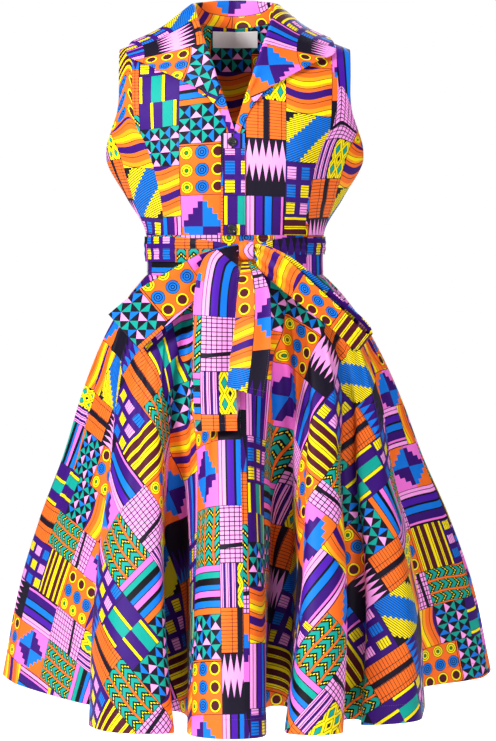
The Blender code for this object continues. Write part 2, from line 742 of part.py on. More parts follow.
def sash_loop(name, table):
    """A loop: the front layer out to the fold at its end, and the back layer home again."""
    front, back = [], []
    for i, row in enumerate(table):
        along, across, out = loop_frame(table[i - 1] if i + 1 == len(table) else row,
                                        table[min(i + 1, len(table) - 1)], row)
        middle = Vector((row.x, row.y, row.z))
        for layer, sign in ((front, 0.5), (back, -0.5)):
            layer.append((middle + out * row.parting * sign, across * row.width / 2, out))
        if i + 1 == len(table):
            tip = middle + along * row.parting * 0.55
            turn = (tip, across * row.width / 2 * 1.01, out)
    stations = front + [turn] + back[::-1]
    centres = spline([station[0] for station in stations], 2, False)
    halves = spline([station[1] for station in stations], 2, False)
    outs = spline([station[2] for station in stations], 2, False)
    grid = []
    for n, (centre, half, out) in enumerate(zip(centres, halves, outs)):
        near_knot = min(n, len(centres) - 1 - n)
        pleat = 2.2 * MM * max(0.0, 1 - near_knot / 5)
        line = []
        for k in range(7):
            across = mix(-1, 1, k / 6)
            line.append(centre + half * across + out * pleat * math.sin(math.pi * 2.2 * across))
        grid.append(line)
    out = stations[2][2]
    cloth_wall(name, grid, FOLDED_CLOTH * 0.8, grid_out(grid, out))


def grid_out(grid, out):
    """Out of the grid at its middle, given the way out of its front layer."""
    normals = normals_of(grid, False)
    sign = 1 if normals[3][3].dot(out) > 0 else -1
    return normals[len(grid) // 2][len(grid[0]) // 2] * sign


def sash_tail(name, table):
    lefts = spline([Vector((row.left_x, row.y, row.left_z)) for row in table], 2, False)
    rights = spline([Vector((row.right_x, row.y, row.right_z)) for row in table], 2, False)
    curls = spline([Vector((row.curl, 0, 0)) for row in table], 2, False)
    grid = []
    for left, right, curl in zip(lefts, rights, curls):
        line = []
        for k in range(7):
            f = k / 6
            forward = -curl.x * math.sin(math.pi * f) + 0.3 * curl.x * math.sin(3 * math.pi * f)
            line.append(left.lerp(right, f) + Vector((0, forward, 0)))
        grid.append(line)
    cloth_wall(name, grid, FOLDED_CLOTH * 0.8, Vector((0, -1, 0)))


# Skirt


def hem_outline():
    """The hem from above as a closed curve, and the place on it of each named fold."""
    points = []
    tips = {}
    for row in HEM_FOLDS:
        tip = Vector((row.x, row.y))
        out = (tip - MEAN_HEM_CENTRE).normalized()
        if not row.outward:
            out = -out
        side = Vector((-out.y, out.x))
        if not row.outward:
            side = -side
        tips[row.name] = len(points) + 1
        for turn in (-60, 0, 60):
            angle = math.radians(turn)
            points.append(
                tip + side * row.round_off * math.sin(angle)
                - out * row.round_off * (1 - math.cos(angle))
            )
    return points, tips


def hem_curve(per_span=24):
    points, tips = hem_outline()
    curve = spline(points, per_span, True)
    lengths = [0.0]
    for a, b in zip(curve, curve[1:] + curve[:1]):
        lengths.append(lengths[-1] + (b - a).length)
    places = {name: lengths[index * per_span] for name, index in tips.items()}
    return curve, lengths, places


def along_curve(curve, lengths, at):
    total = lengths[-1]
    at %= total
    low, high = 0, len(curve)
    while high - low > 1:
        middle = (low + high) // 2
        if lengths[middle] <= at:
            low = middle
        else:
            high = middle
    share = (at - lengths[low]) / max(lengths[low + 1] - lengths[low], 1e-9)
    return curve[low].lerp(curve[(low + 1) % len(curve)], share)


class Skirt:
    """The flared skirt as a surface: a share of the way round a quarter, and of its length."""

    def __init__(self):
        self.curve, self.lengths, self.places = hem_curve()

    def quarter(self, index):
        first = SKIRT_SEAMS[index]
        second = SKIRT_SEAMS[(index + 1) % len(SKIRT_SEAMS)]
        start = self.places[first.fold] + first.shift
        end = self.places[second.fold] + second.shift
        if end < start:
            end += self.lengths[-1]
        turn = second.waist_angle - first.waist_angle
        if turn < 0:
            turn += 360
        return start, end, math.radians(first.waist_angle), math.radians(turn)

    def point(self, index, around, share):
        start, end, first_angle, turn = self.quarter(index)
        count = len(SKIRT_SEAMS)
        if around < 0:
            before = self.quarter((index - 1) % count)
            return self.point((index - 1) % count, 1 + around * (end - start)
                              / (before[1] - before[0]), share)
        if around > 1:
            after = self.quarter((index + 1) % count)
            return self.point((index + 1) % count, (around - 1) * (end - start)
                              / (after[1] - after[0]), share)
        angle = first_angle + turn * around
        hem = along_curve(self.curve, self.lengths, mix(start, end, around))
        spread = read(FLARE, "share", "spread", share)
        fold = read(FLARE, "share", "fold", share)
        top = BELT_BOTTOM_Z - SEAM_GAP / 2
        waist = waist_point(angle, top)
        mean = MEAN_HEM_CENTRE + Vector(
            (MEAN_HEM_RADII.x * math.sin(angle), -MEAN_HEM_RADII.y * math.cos(angle))
        )
        flat = Vector((waist.x, waist.y)).lerp(mean, spread) + (hem - mean) * fold
        stands_out = max(0.0, (hem - mean).dot((hem - MEAN_HEM_CENTRE).normalized()))
        return Vector((flat.x, flat.y, mix(top, HEM_Z + HEM_RISE * stands_out, share)))


def skirt_panels(skirt):
    names = ("skirt_front_right", "skirt_front_left", "skirt_back_left", "skirt_back_right")
    for index, name in enumerate(names):
        start, end, first_angle, turn = skirt.quarter(index)
        trim_hem = SEAM_GAP / 2 / (end - start)
        trim_waist = SEAM_GAP / 2 / (turn * 0.12)
        grid = []
        for share in SKIRT_SHARES:
            trim = mix(trim_waist, trim_hem, share ** 0.5)
            grid.append([skirt.point(index, mix(trim, 1 - trim, i / SKIRT_COLUMNS), share)
                         for i in range(-1, SKIRT_COLUMNS + 2)])
        middle = skirt.point(index, 0.5, SKIRT_SHARES[len(SKIRT_SHARES) // 2])
        ahead = skirt.point(index, 0.52, SKIRT_SHARES[len(SKIRT_SHARES) // 2])
        out = (ahead - middle).cross(Vector((0, 0, 1)))
        cloth_wall(name, grid, CLOTH, out, spare=(0, 0, 1, 1))


def main():
    for obj in list(bpy.data.objects):
        bpy.data.objects.remove(obj, do_unlink=True)
    bodice_panels()
    collar()
    lapels()
    placket()
    buttons()
    neck_label()
    waistband()
    sash_round_waist()
    sash_knot()
    sash_loop("sash_loop_right", LOOP_RIGHT)
    sash_loop("sash_loop_left", LOOP_LEFT)
    sash_tail("sash_tail_right", TAIL_RIGHT)
    sash_tail("sash_tail_left", TAIL_LEFT)
    skirt_panels(Skirt())


main()
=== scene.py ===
import math

import bpy
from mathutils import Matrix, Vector


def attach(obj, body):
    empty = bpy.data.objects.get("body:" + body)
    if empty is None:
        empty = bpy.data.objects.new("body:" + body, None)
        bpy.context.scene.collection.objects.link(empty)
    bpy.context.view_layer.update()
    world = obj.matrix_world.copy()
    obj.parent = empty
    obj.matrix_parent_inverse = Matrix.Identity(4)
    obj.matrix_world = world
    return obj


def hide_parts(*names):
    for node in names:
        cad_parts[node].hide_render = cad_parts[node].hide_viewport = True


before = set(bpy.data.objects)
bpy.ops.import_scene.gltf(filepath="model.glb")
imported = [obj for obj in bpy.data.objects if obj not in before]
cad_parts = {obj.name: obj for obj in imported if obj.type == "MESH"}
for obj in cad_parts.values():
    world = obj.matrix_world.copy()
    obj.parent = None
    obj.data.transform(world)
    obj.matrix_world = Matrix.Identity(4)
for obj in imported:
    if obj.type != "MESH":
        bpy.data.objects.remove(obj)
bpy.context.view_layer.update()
mm = 0.001
hands = ((-1, "Right"), (1, "Left"))  # the wearer's
frontWay, backWay = Vector((0, -1, 0)), Vector((0, 1, 0))
print("frame loaded")


def addObject(name, data):
    obj = bpy.data.objects.new(name, data)
    bpy.context.scene.collection.objects.link(obj)
    return obj


def addMesh(name, points, faces, material):
    mesh = bpy.data.meshes.new(name)
    mesh.from_pydata(points, [], faces)
    mesh.materials.append(material)
    mesh.polygons.foreach_set("use_smooth", [True] * len(mesh.polygons))
    return addObject(name, mesh)


# Camera: eye level is the waist, a little to the wearer's left
cameraPlace = {"at": (0.019, -2.6, -0.292), "tilt": 3.87, "pixelsPerRadian": 1772.0,
               "picture": 496, "film": 36.0}

cameraData = bpy.data.cameras.new("photoCamera")
cameraData.sensor_fit = "HORIZONTAL"
cameraData.sensor_width = cameraPlace["film"]
cameraData.lens = cameraPlace["film"] * cameraPlace["pixelsPerRadian"] / cameraPlace["picture"]
camera = addObject("photoCamera", cameraData)
camera.location = cameraPlace["at"]
camera.rotation_euler = (math.radians(90 - cameraPlace["tilt"]), 0, 0)
bpy.context.scene.camera = camera


# Smooth tables and curves


def valueAt(keys, values, at):
    if at <= keys[0]:
        return values[0]
    if at >= keys[-1]:
        return values[-1]
    i = max(n for n in range(len(keys) - 1) if keys[n] <= at)
    span = keys[i + 1] - keys[i]
    t = (at - keys[i]) / span
    rise = (values[i + 1] - values[i]) / span
    before = (values[i] - values[i - 1]) / (keys[i] - keys[i - 1]) if i else rise
    last = i + 2 >= len(keys)
    after = rise if last else (values[i + 2] - values[i + 1]) / (keys[i + 2] - keys[i + 1])
    start = 0.0 if before * rise <= 0 else 2 * before * rise / (before + rise)
    end = 0.0 if after * rise <= 0 else 2 * after * rise / (after + rise)
    return (
        (1 + 2 * t) * (1 - t) ** 2 * values[i]
        + t * (1 - t) ** 2 * span * start
        + t * t * (3 - 2 * t) * values[i + 1]
        + t * t * (t - 1) * span * end
    )


def mix(a, b, share):
    return a + (b - a) * share


def clamp(value, low=0.0, high=1.0):
    return max(low, min(high, value))


def smooth(value):
    t = clamp(value)
    return t * t * (3 - 2 * t)


def smoothPath(points, perSpan, closed=False):
    count = len(points)
    out = []
    for i in range(count if closed else count - 1):
        if closed:
            around = [points[(i + k) % count] for k in (-1, 0, 1, 2)]
        else:
            around = [points[min(max(i + k, 0), count - 1)] for k in (-1, 0, 1, 2)]
        gaps = [max((b - a).length, 1e-6) ** 0.5 for a, b in zip(around, around[1:])]
        if not closed and i == 0:
            gaps[0] = gaps[1]
        if not closed and i == count - 2:
            gaps[2] = gaps[1]
        a, b, c, d = around
        start = ((b - a) / gaps[0] - (c - a) / (gaps[0] + gaps[1]) + (c - b) / gaps[1]) * gaps[1]
        end = ((c - b) / gaps[1] - (d - b) / (gaps[1] + gaps[2]) + (d - c) / gaps[2]) * gaps[1]
        for step in range(perSpan):
            t = step / perSpan
            out.append(b * (1 + 2 * t) * (1 - t) ** 2 + start * t * (1 - t) ** 2
                       + c * t * t * (3 - 2 * t) + end * t * t * (t - 1))
    if not closed:
        out.append(points[-1].copy())
    return out


# The figure that the bodice is cut for, as rings from the neck to the waist seam
figure = {
    "z": (-0.327, -0.299, -0.270, -0.215, -0.161, -0.110, -0.060, 0.000, 0.065),
    "halfWidth": (0.1290, 0.1285, 0.1295, 0.158, 0.187, 0.194, 0.195, 0.195, 0.195),
    "front": (0.103, 0.102, 0.103, 0.112, 0.118, 0.113, 0.104, 0.088, 0.070),
    "back": (0.086, 0.085, 0.086, 0.092, 0.099, 0.101, 0.097, 0.087, 0.074),
    "neckX": 0.060, "neckZ": 0.040, "backNeckZ": 0.036,
    "tipX": 0.167, "shoulderRound": 0.090, "ridgeY": 0.005,
    "bustX": 0.082, "bustZ": -0.160, "bustRise": 0.019,
    "bustInner": 0.095, "bustOuter": 0.052, "bustTall": 0.058,
    "beltTop": -0.270, "beltBottom": -0.327, "underarm": -0.161, "waistRadius": 0.12,
}
seamGap = 0.3 * mm
layerGap = 0.8 * mm
foldedCloth = 2.0 * mm
ring = {}


def ringAt(what, z):
    key = (what, round(z, 5))
    if key not in ring:
        ring[key] = valueAt(figure["z"], figure[what], z)
    return ring[key]


def ridgeZ(x):
    slope = figure["neckZ"] / (figure["tipX"] - figure["neckX"])
    return slope * (figure["tipX"] - abs(x))


def figureDepth(x, z, side):
    drop = max(0.0, ridgeZ(x) - z)
    if abs(x) > figure["tipX"]:
        drop = max(drop, -z)
    rounding = 1.0
    if drop < figure["shoulderRound"]:
        rounding = math.sqrt(max(0.0, 1 - (1 - drop / figure["shoulderRound"]) ** 2))
    across = min(1.0, abs(x) / ringAt("halfWidth", z))
    depth = ringAt("front" if side < 0 else "back", z) * rounding * math.sqrt(1 - across * across)
    if side < 0:
        spread = figure["bustInner"] if abs(x) < figure["bustX"] else figure["bustOuter"]
        bump = math.exp(-(((abs(x) - figure["bustX"]) / spread) ** 2))
        bump *= math.exp(-(((z - figure["bustZ"]) / figure["bustTall"]) ** 2))
        depth += figure["bustRise"] * bump * math.sqrt(1 - across * across)
    if z < 0.0 and depth > 0.03:  # no creases on the shoulders or at the side edges
        depth += creaseDepth(x, z, side)
    return depth


def figurePoint(x, z, side):
    ridge = figure["ridgeY"] * clamp(1 - (ridgeZ(x) - z) / figure["shoulderRound"])
    return Vector((x, ridge + side * (seamGap / 2 + figureDepth(x, z, side)), z))


def onFigure(angle, z, side):
    if abs(angle) > math.pi / 2:
        side = -side
    return figurePoint(ringAt("halfWidth", z) * math.sin(angle), z, side)


def figureNormal(x, z, side, step=0.0005):
    z = min(z, ridgeZ(x) - step)
    wider = figureDepth(x + step, z, side) ** 2 - figureDepth(x - step, z, side) ** 2
    higher = figureDepth(x, z + step, side) ** 2 - figureDepth(x, z - step, side) ** 2
    depth = figureDepth(x, z, side)
    return Vector((-wider / 2 / step, 2 * side * depth, -higher / 2 / step)).normalized()


def lifted(x, z, side, lift):
    return figurePoint(x, z, side) + figureNormal(x, z, side) * lift


def overShoulder(x, run, lift):
    bent = min(abs(run), figure["shoulderRound"] * math.pi / 2)
    drop = figure["shoulderRound"] * (1 - math.cos(bent / figure["shoulderRound"]))
    return lifted(x, ridgeZ(x) - drop - abs(run) + bent, -1 if run < 0 else 1, lift)


def angleOf(x, z):
    return math.asin(clamp(x / ringAt("halfWidth", z), -1.0, 1.0))


# The wax print: a patchwork of strip-weave motifs. Every size is on the cloth, in metres.
inks = {
    "orange": "F06A1E", "yellow": "F4DB08", "pink": "EE6FD2", "palePink": "F79BE4",
    "purple": "33096B", "violet": "47139B", "night": "120C1E", "black": "09070D",
    "blue": "0A70D6", "teal": "07998C", "maroon": "480E20", "green": "15812F", "amber": "F79A18",
}
printLayout = {
    "repeatWide": 0.310, "repeatTall": 0.372, "halfDrop": 0.137, "outline": 0.0009,
    # each column's width, then its motifs and their heights from the bottom up
    "columns": (
        (0.066, (("steps", 0.092), ("discs", 0.074), ("pinwheels", 0.060),
                 ("bars", 0.066), ("chevrons", 0.080))),
        (0.056, (("stripes", 0.092), ("spikes", 0.082), ("bricks", 0.060),
                 ("rhombs", 0.060), ("nets", 0.078))),
        (0.070, (("maroons", 0.062), ("dashes", 0.082), ("hatch", 0.076),
                 ("waves", 0.076), ("discs", 0.076))),
        (0.056, (("chevrons", 0.084), ("bricks", 0.072), ("thorns", 0.088),
                 ("steps", 0.092), ("nets", 0.036))),
        (0.062, (("pinwheels", 0.060), ("wideBars", 0.082), ("dashes", 0.066),
                 ("stripes", 0.088), ("waves", 0.076))),
    ),
}


def inkColour(name):
    channels = [int(inks[name][k:k + 2], 16) / 255 for k in (0, 2, 4)]
    return [c / 12.92 if c < 0.04045 else ((c + 0.055) / 1.055) ** 2.4 for c in channels] + [1.0]


def feed(socket, value):
    # An ink's name, a reading, another node's socket or a plain value
    value = inkColour(value) if isinstance(value, str) else getattr(value, "socket", value)
    if isinstance(value, bpy.types.NodeSocket):
        socket.id_data.links.new(value, socket)
    else:
        socket.default_value = value


def feedAll(node, feeds):
    for name, value in feeds.items():
        feed(node.inputs[name], value)


def addNode(tree, kind, feeds=None, **settings):
    node = tree.nodes.new(kind)
    node.location = (180 * (len(tree.nodes) // 12), -160 * (len(tree.nodes) % 12))
    for name, value in settings.items():
        setattr(node, name, value)
    feedAll(node, feeds or {})
    return node


def newTree(kind, name, given, results):
    tree = bpy.data.node_groups.new(name, kind)
    for way, sockets in (("INPUT", given), ("OUTPUT", results)):
        for label, form, *value in sockets:
            socket = tree.interface.new_socket(name=label, in_out=way, socket_type="NodeSocket" + form)
            if value:
                socket.default_value = value[0]
    return tree, addNode(tree, "NodeGroupInput").outputs, addNode(tree, "NodeGroupOutput")


def calc(operation, *values):
    tree = next(value.socket.id_data for value in values if isinstance(value, Reading))
    return Reading(addNode(tree, "ShaderNodeMath", dict(enumerate(values)), operation=operation).outputs[0])


class Reading:
    # A number that changes over the cloth. Sums with it become math nodes.

    def __init__(self, socket):
        self.socket = socket

    def __add__(self, other):
        return calc("ADD", self, other)

    def __sub__(self, other):
        return calc("SUBTRACT", self, other)

    def __mul__(self, other):
        return calc("MULTIPLY", self, other)

    def __truediv__(self, other):
        return calc("DIVIDE", self, other)

    def __mod__(self, other):
        return calc("MODULO", self, other)

    def __lt__(self, other):
        return calc("LESS_THAN", self, other)

    def __gt__(self, other):
        return calc("GREATER_THAN", self, other)

    def __and__(self, other):
        return calc("MULTIPLY", self, other)

    def __or__(self, other):
        return calc("MAXIMUM", self, other)

    def __abs__(self):
        return calc("ABSOLUTE", self)


def within(reading, size):
    return calc("FRACT", reading / size)


def countOf(reading, size):
    return calc("FLOOR", reading / size)


def fromMiddle(reading, size):
    return abs(within(reading, size) - 0.5)


def near(reading, target, reach):
    return calc("COMPARE", reading, target, reach)


def distance(x, y):
    return calc("SQRT", x * x + y * y)


def ink(mask, under, over):
    tree = mask.socket.id_data
    return addNode(tree, "ShaderNodeMix", {0: mask, 6: under, 7: over}, data_type="RGBA").outputs[2]


def bands(reading, *stops):
    # Inks side by side, each from its place on
    ramp = addNode(reading.socket.id_data, "ShaderNodeValToRGB", {0: reading})
    ramp.color_ramp.interpolation = "CONSTANT"
    points = ramp.color_ramp.elements
    while len(points) < len(stops):
        points.new(0.5)
    for point, (place, name) in zip(points, stops):
        point.position = place
    for point, (place, name) in zip(points, stops):
        point.color = inkColour(name)
    return ramp.outputs[0]


def discs(x, y):
    away = distance(within(x, 0.0220) - 0.5, (within(y, 0.0247) - 0.5) * 1.12)
    kind = countOf(x, 0.0220) % 3.0
    yellows = bands(away, (0, "green"), (0.10, "black"), (0.14, "yellow"), (0.24, "black"),
                    (0.285, "yellow"), (0.39, "black"), (0.42, "orange"))
    blues = bands(away, (0, "blue"), (0.08, "black"), (0.14, "blue"), (0.22, "black"),
                  (0.28, "blue"), (0.40, "black"), (0.445, "orange"))
    maroonEyes = bands(away, (0, "maroon"), (0.27, "black"), (0.30, "yellow"),
                       (0.41, "black"), (0.44, "orange"))
    rounds = ink(near(kind, 2.0, 0.4), ink(near(kind, 1.0, 0.4), yellows, blues), maroonEyes)
    return ink(near(y, 0.0715, 0.0006), rounds, "black")


def nets(x, y):
    lines = (within(x, 0.0074) < 0.18) | (within(y, 0.0062) < 0.22)
    bar = near(x * -0.10 + y, 0.022, 0.0030)
    return ink(lines | bar, "palePink", "night")


def chevrons(x, y):
    zigzag = fromMiddle(x + calc("SINE", y * 60.0) * 0.0016, 0.0190)
    lean = within(zigzag * 0.020 + y, 0.0160)
    arrows = ink(lean < 0.47, "black", "teal")
    bead = distance(within(zigzag + 0.09, 0.18) - 0.5, (lean - 0.73) * 4.4)
    beaded = ink(bead < 0.36, arrows, "yellow")
    edge = calc("SUBTRACT", 0.5, zigzag)
    return ink(edge < 0.085, ink(edge < 0.125, beaded, "black"), "orange")


def steps(x, y):
    away, level = x - 0.033, y - 0.046
    inside = abs(level) + countOf(abs(away), 0.0072) * 0.0092 < 0.037
    crossed = near((away > 0.0) + (level > 0.0), 1.0, 0.4)
    return ink(inside, ink(crossed, "orange", "pink"), ink(crossed, "blue", "purple"))


def pinwheels(x, y):
    across, up = within(x, 0.0165), within(y, 0.0200)
    odd = abs(countOf(x, 0.0165) + countOf(y, 0.0200)) % 2.0
    which = (across + up > 1.0) * 2.0 + odd * 4.0 + (across > up)
    return bands(which * 0.125 + 0.01, (0, "teal"), (0.125, "night"), (0.25, "night"), (0.375, "blue"),
                 (0.5, "night"), (0.625, "palePink"), (0.75, "teal"), (0.875, "night"))


def rhombs(x, y):
    side = x - 0.026
    core = bands(fromMiddle(y, 0.0300) + fromMiddle(side, 0.0150), (0, "teal"), (0.26, "black"),
                 (0.32, "yellow"), (0.56, "black"), (0.62, "yellow"), (0.82, "black"))
    pins = bands(within(x, 0.0088), (0, "palePink"), (0.28, "black"), (0.40, "palePink"),
                 (0.56, "black"), (0.68, "purple"))
    return ink(side > 0.0, pins, core)


def spikes(x, y, pitch=0.0093):
    underTop = fromMiddle(x, pitch) * 0.052 + y < 0.081
    overFoot = y - fromMiddle(x + pitch / 2, pitch) * 0.052 > 0.022
    return ink(underTop & overFoot, "night", "palePink")


def thorns(x, y, pitch=0.0112):
    field = ink(fromMiddle(x, pitch) * 0.060 + y < 0.050, "night", "purple")
    return ink(fromMiddle(x + pitch / 2, pitch) * 0.050 + y < 0.022, field, "blue")


def maroons(x, y):
    return bands(within(y, 0.0300), (0, "yellow"), (0.10, "black"), (0.13, "yellow"), (0.22, "maroon"),
                 (0.48, "yellow"), (0.54, "black"), (0.57, "yellow"), (0.63, "maroon"), (0.94, "yellow"))


def bars(x, y):
    return bands(within(y, 0.066), (0, "orange"), (0.13, "black"), (0.15, "blue"), (0.28, "black"),
                 (0.36, "pink"), (0.48, "black"), (0.50, "blue"), (0.60, "black"), (0.74, "teal"),
                 (0.86, "black"), (0.88, "pink"))


def wideBars(x, y):
    shifted = (y > 0.041) * 0.0175 + x
    return bands(within(shifted, 0.070), (0, "purple"), (0.26, "black"), (0.27, "yellow"),
                 (0.335, "black"), (0.345, "purple"), (0.54, "teal"), (0.76, "black"),
                 (0.77, "yellow"), (0.835, "black"), (0.845, "purple"))


def stripes(x, y):
    return bands(within(x, 0.056), (0, "palePink"), (0.09, "black"), (0.11, "palePink"), (0.20, "black"),
                 (0.25, "violet"), (0.42, "black"), (0.48, "blue"), (0.65, "black"),
                 (0.68, "purple"), (0.90, "pink"), (0.96, "black"))


def waves(x, y):
    swell = calc("SINE", x * 62.0) * 0.0055
    return bands(within(y + swell, 0.048), (0, "yellow"), (0.13, "black"), (0.15, "amber"),
                 (0.27, "orange"), (0.43, "black"), (0.45, "orange"), (0.57, "purple"),
                 (0.80, "orange"), (0.90, "black"), (0.92, "amber"))


def hatch(x, y):
    level = (y - countOf(x, 0.0056) * 0.0062) / 0.076
    field = bands(level * 0.5 + 0.5, (0, "night"), (0.14, "yellow"), (0.38, "blue"),
                  (0.68, "yellow"), (0.90, "night"))
    return ink(within(x * -0.45 + y, 0.0034) < 0.32, field, "night")


def bricks(x, y):
    lines = (within(y, 0.0050) < 0.15) | (within(x, 0.0165) < 0.055)
    return ink(lines | near(x, 0.0285, 0.0042), "orange", "night")


def dashes(x, y):
    inside = near(within(x, 0.0225), 0.42, 0.30) & near(within(y, 0.0268), 0.5, 0.34)
    kind = (countOf(y, 0.0268) * 2.0 + countOf(x, 0.0225)) % 3.0
    fill = bands(kind * 0.333 + 0.02, (0, "yellow"), (0.33, "palePink"), (0.66, "blue"))
    return ink(inside, "purple", ink(within(y, 0.0042) < 0.22, fill, "night"))


motifs = {"discs": discs, "nets": nets, "chevrons": chevrons, "steps": steps,
          "pinwheels": pinwheels, "rhombs": rhombs, "spikes": spikes, "thorns": thorns,
          "maroons": maroons, "bars": bars, "wideBars": wideBars, "stripes": stripes,
          "waves": waves, "hatch": hatch, "bricks": bricks, "dashes": dashes}


def waxPrintGroup():
    tree, given, end = newTree("ShaderNodeTree", "waxPrint", [("Cloth Place", "Vector")], [("Ink", "Color")])
    split = addNode(tree, "ShaderNodeSeparateXYZ", {0: given["Cloth Place"]})
    u, v = Reading(split.outputs[0]), Reading(split.outputs[1])
    wide, tall = printLayout["repeatWide"], printLayout["repeatTall"]
    x = within(u, wide) * wide
    y = within(countOf(u, wide) * printLayout["halfDrop"] + v, tall) * tall
    names = list(motifs)
    chosen = last = None
    edge = 0.0
    for width, patches in printLayout["columns"]:
        foot, rowStart, kind = 0.0, 0.0, float(names.index(patches[0][0]))
        for (under, height), (over, ownHeight) in zip(patches, patches[1:]):
            foot += height
            past = y > foot
            rowStart = past * height + rowStart
            kind = past * float(names.index(over) - names.index(under)) + kind
        own = (edge, rowStart, kind)
        if chosen is None:
            chosen = own
        else:
            past = x > edge
            chosen = [past * (now - before) + so for now, before, so in zip(own, last, chosen)]
        last = own
        edge += width
    columnStart, rowStart, kind = chosen
    inX, inY = x - columnStart, y - rowStart
    colour = None
    for number, draw in enumerate(motifs.values()):
        drawn = draw(inX, inY)
        colour = drawn if colour is None else ink(near(kind, float(number), 0.4), colour, drawn)
    outline = (inX < printLayout["outline"]) | (inY < printLayout["outline"])
    feed(end.inputs["Ink"], ink(outline, colour, "night"))
    return tree


def clothReliefGroup():
    # Plain weave, and the soft rumple that pressed cotton keeps
    tree, given, end = newTree("ShaderNodeTree", "cottonRelief",
                               [("Cloth Place", "Vector"), ("Thread Size", "Float", 0.0007),
                                ("Rumple Size", "Float", 0.05)],
                               [("Height", "Float"), ("Worn", "Float")])
    split = addNode(tree, "ShaderNodeSeparateXYZ", {0: given["Cloth Place"]})
    thread = Reading(given["Thread Size"])
    warp, weft = (calc("SINE", Reading(split.outputs[k]) / thread * (2 * math.pi)) for k in (0, 1))
    noise = addNode(tree, "ShaderNodeTexNoise", {
        "Vector": given["Cloth Place"], "Scale": calc("DIVIDE", 1.0, Reading(given["Rumple Size"])),
        "Detail": 2.5, "Distortion": 0.7})
    patchy = Reading(noise.outputs["Fac"])
    feedAll(end, {"Height": warp * weft * 0.00004 + patchy * 0.0034, "Worn": patchy * 0.16 + 0.48})
    return tree


def newMaterial(name):
    made = bpy.data.materials.new(name)
    made.use_nodes = True
    return made, made.node_tree, made.node_tree.nodes["Principled BSDF"]


def printMaterial():
    made, tree, shader = newMaterial("waxPrintCotton")
    place = {"Cloth Place": addNode(tree, "ShaderNodeUVMap", uv_map="clothPlace").outputs[0]}
    pattern = addNode(tree, "ShaderNodeGroup", place, node_tree=waxPrintGroup())
    relief = addNode(tree, "ShaderNodeGroup", place, node_tree=clothReliefGroup())
    bump = addNode(tree, "ShaderNodeBump",
                   {"Strength": 0.45, "Distance": 1.0, "Height": relief.outputs["Height"]})
    feedAll(shader, {"Base Color": pattern.outputs["Ink"], "Roughness": relief.outputs["Worn"],
                     "Normal": bump.outputs[0], "Sheen Weight": 0.015, "Sheen Roughness": 0.4,
                     "Specular IOR Level": 0.14})
    return made


def plainMaterial(name, colour, roughness, grainSize, grainDepth):
    made, tree, shader = newMaterial(name)
    place = addNode(tree, "ShaderNodeTexCoord").outputs["Object"]
    noise = addNode(tree, "ShaderNodeTexNoise", {"Scale": 1 / grainSize, "Detail": 3.0, "Vector": place})
    grain = noise.outputs["Fac"]
    bump = addNode(tree, "ShaderNodeBump", {"Strength": 0.4, "Distance": grainDepth, "Height": grain})
    tint = addNode(tree, "ShaderNodeValToRGB", {0: grain})
    for point, share in zip(tint.color_ramp.elements, (0.82, 1.12)):
        point.color = [min(1.0, c * share) for c in colour] + [1]
    feedAll(shader, {"Base Color": tint.outputs[0], "Roughness": roughness, "Normal": bump.outputs[0]})
    return made


clothMaterial = printMaterial()
buttonMaterial = plainMaterial("blackButton", (0.012, 0.012, 0.014), 0.28, 0.004, 0.0002)
labelMaterial = plainMaterial("satinLabel", (0.92, 0.92, 0.93), 0.5, 0.0012, 0.0002)
threadMaterial = plainMaterial("sewingThread", (0.10, 0.05, 0.16), 0.6, 0.0006, 0.0001)
print("wax print and finishes ready")


# Sewing: a grid of points on the cloth's right side becomes a closed thin wall
clothKinds = {
    "cotton": {"thickness": 1.0 * mm, "material": clothMaterial, "slot": "print"},
    "doubled": {"thickness": 1.5 * mm, "material": clothMaterial, "slot": "print"},
    "sash": {"thickness": 1.2 * mm, "material": clothMaterial, "slot": "print"},
    "label": {"thickness": 0.7 * mm, "material": labelMaterial, "slot": "label"},
}
sharpFold = math.radians(55)
sewn = {}


def gridNormals(grid, closed=False):
    found = []
    for j, row in enumerate(grid):
        above, under = grid[max(j - 1, 0)], grid[min(j + 1, len(grid) - 1)]
        count = len(row)
        line = []
        for i in range(count):
            if closed:
                along = row[(i + 1) % count] - row[i - 1]
            else:
                along = row[min(i + 1, count - 1)] - row[max(i - 1, 0)]
            line.append(along.cross(under[i] - above[i]).normalized())
        found.append(line)
    return found


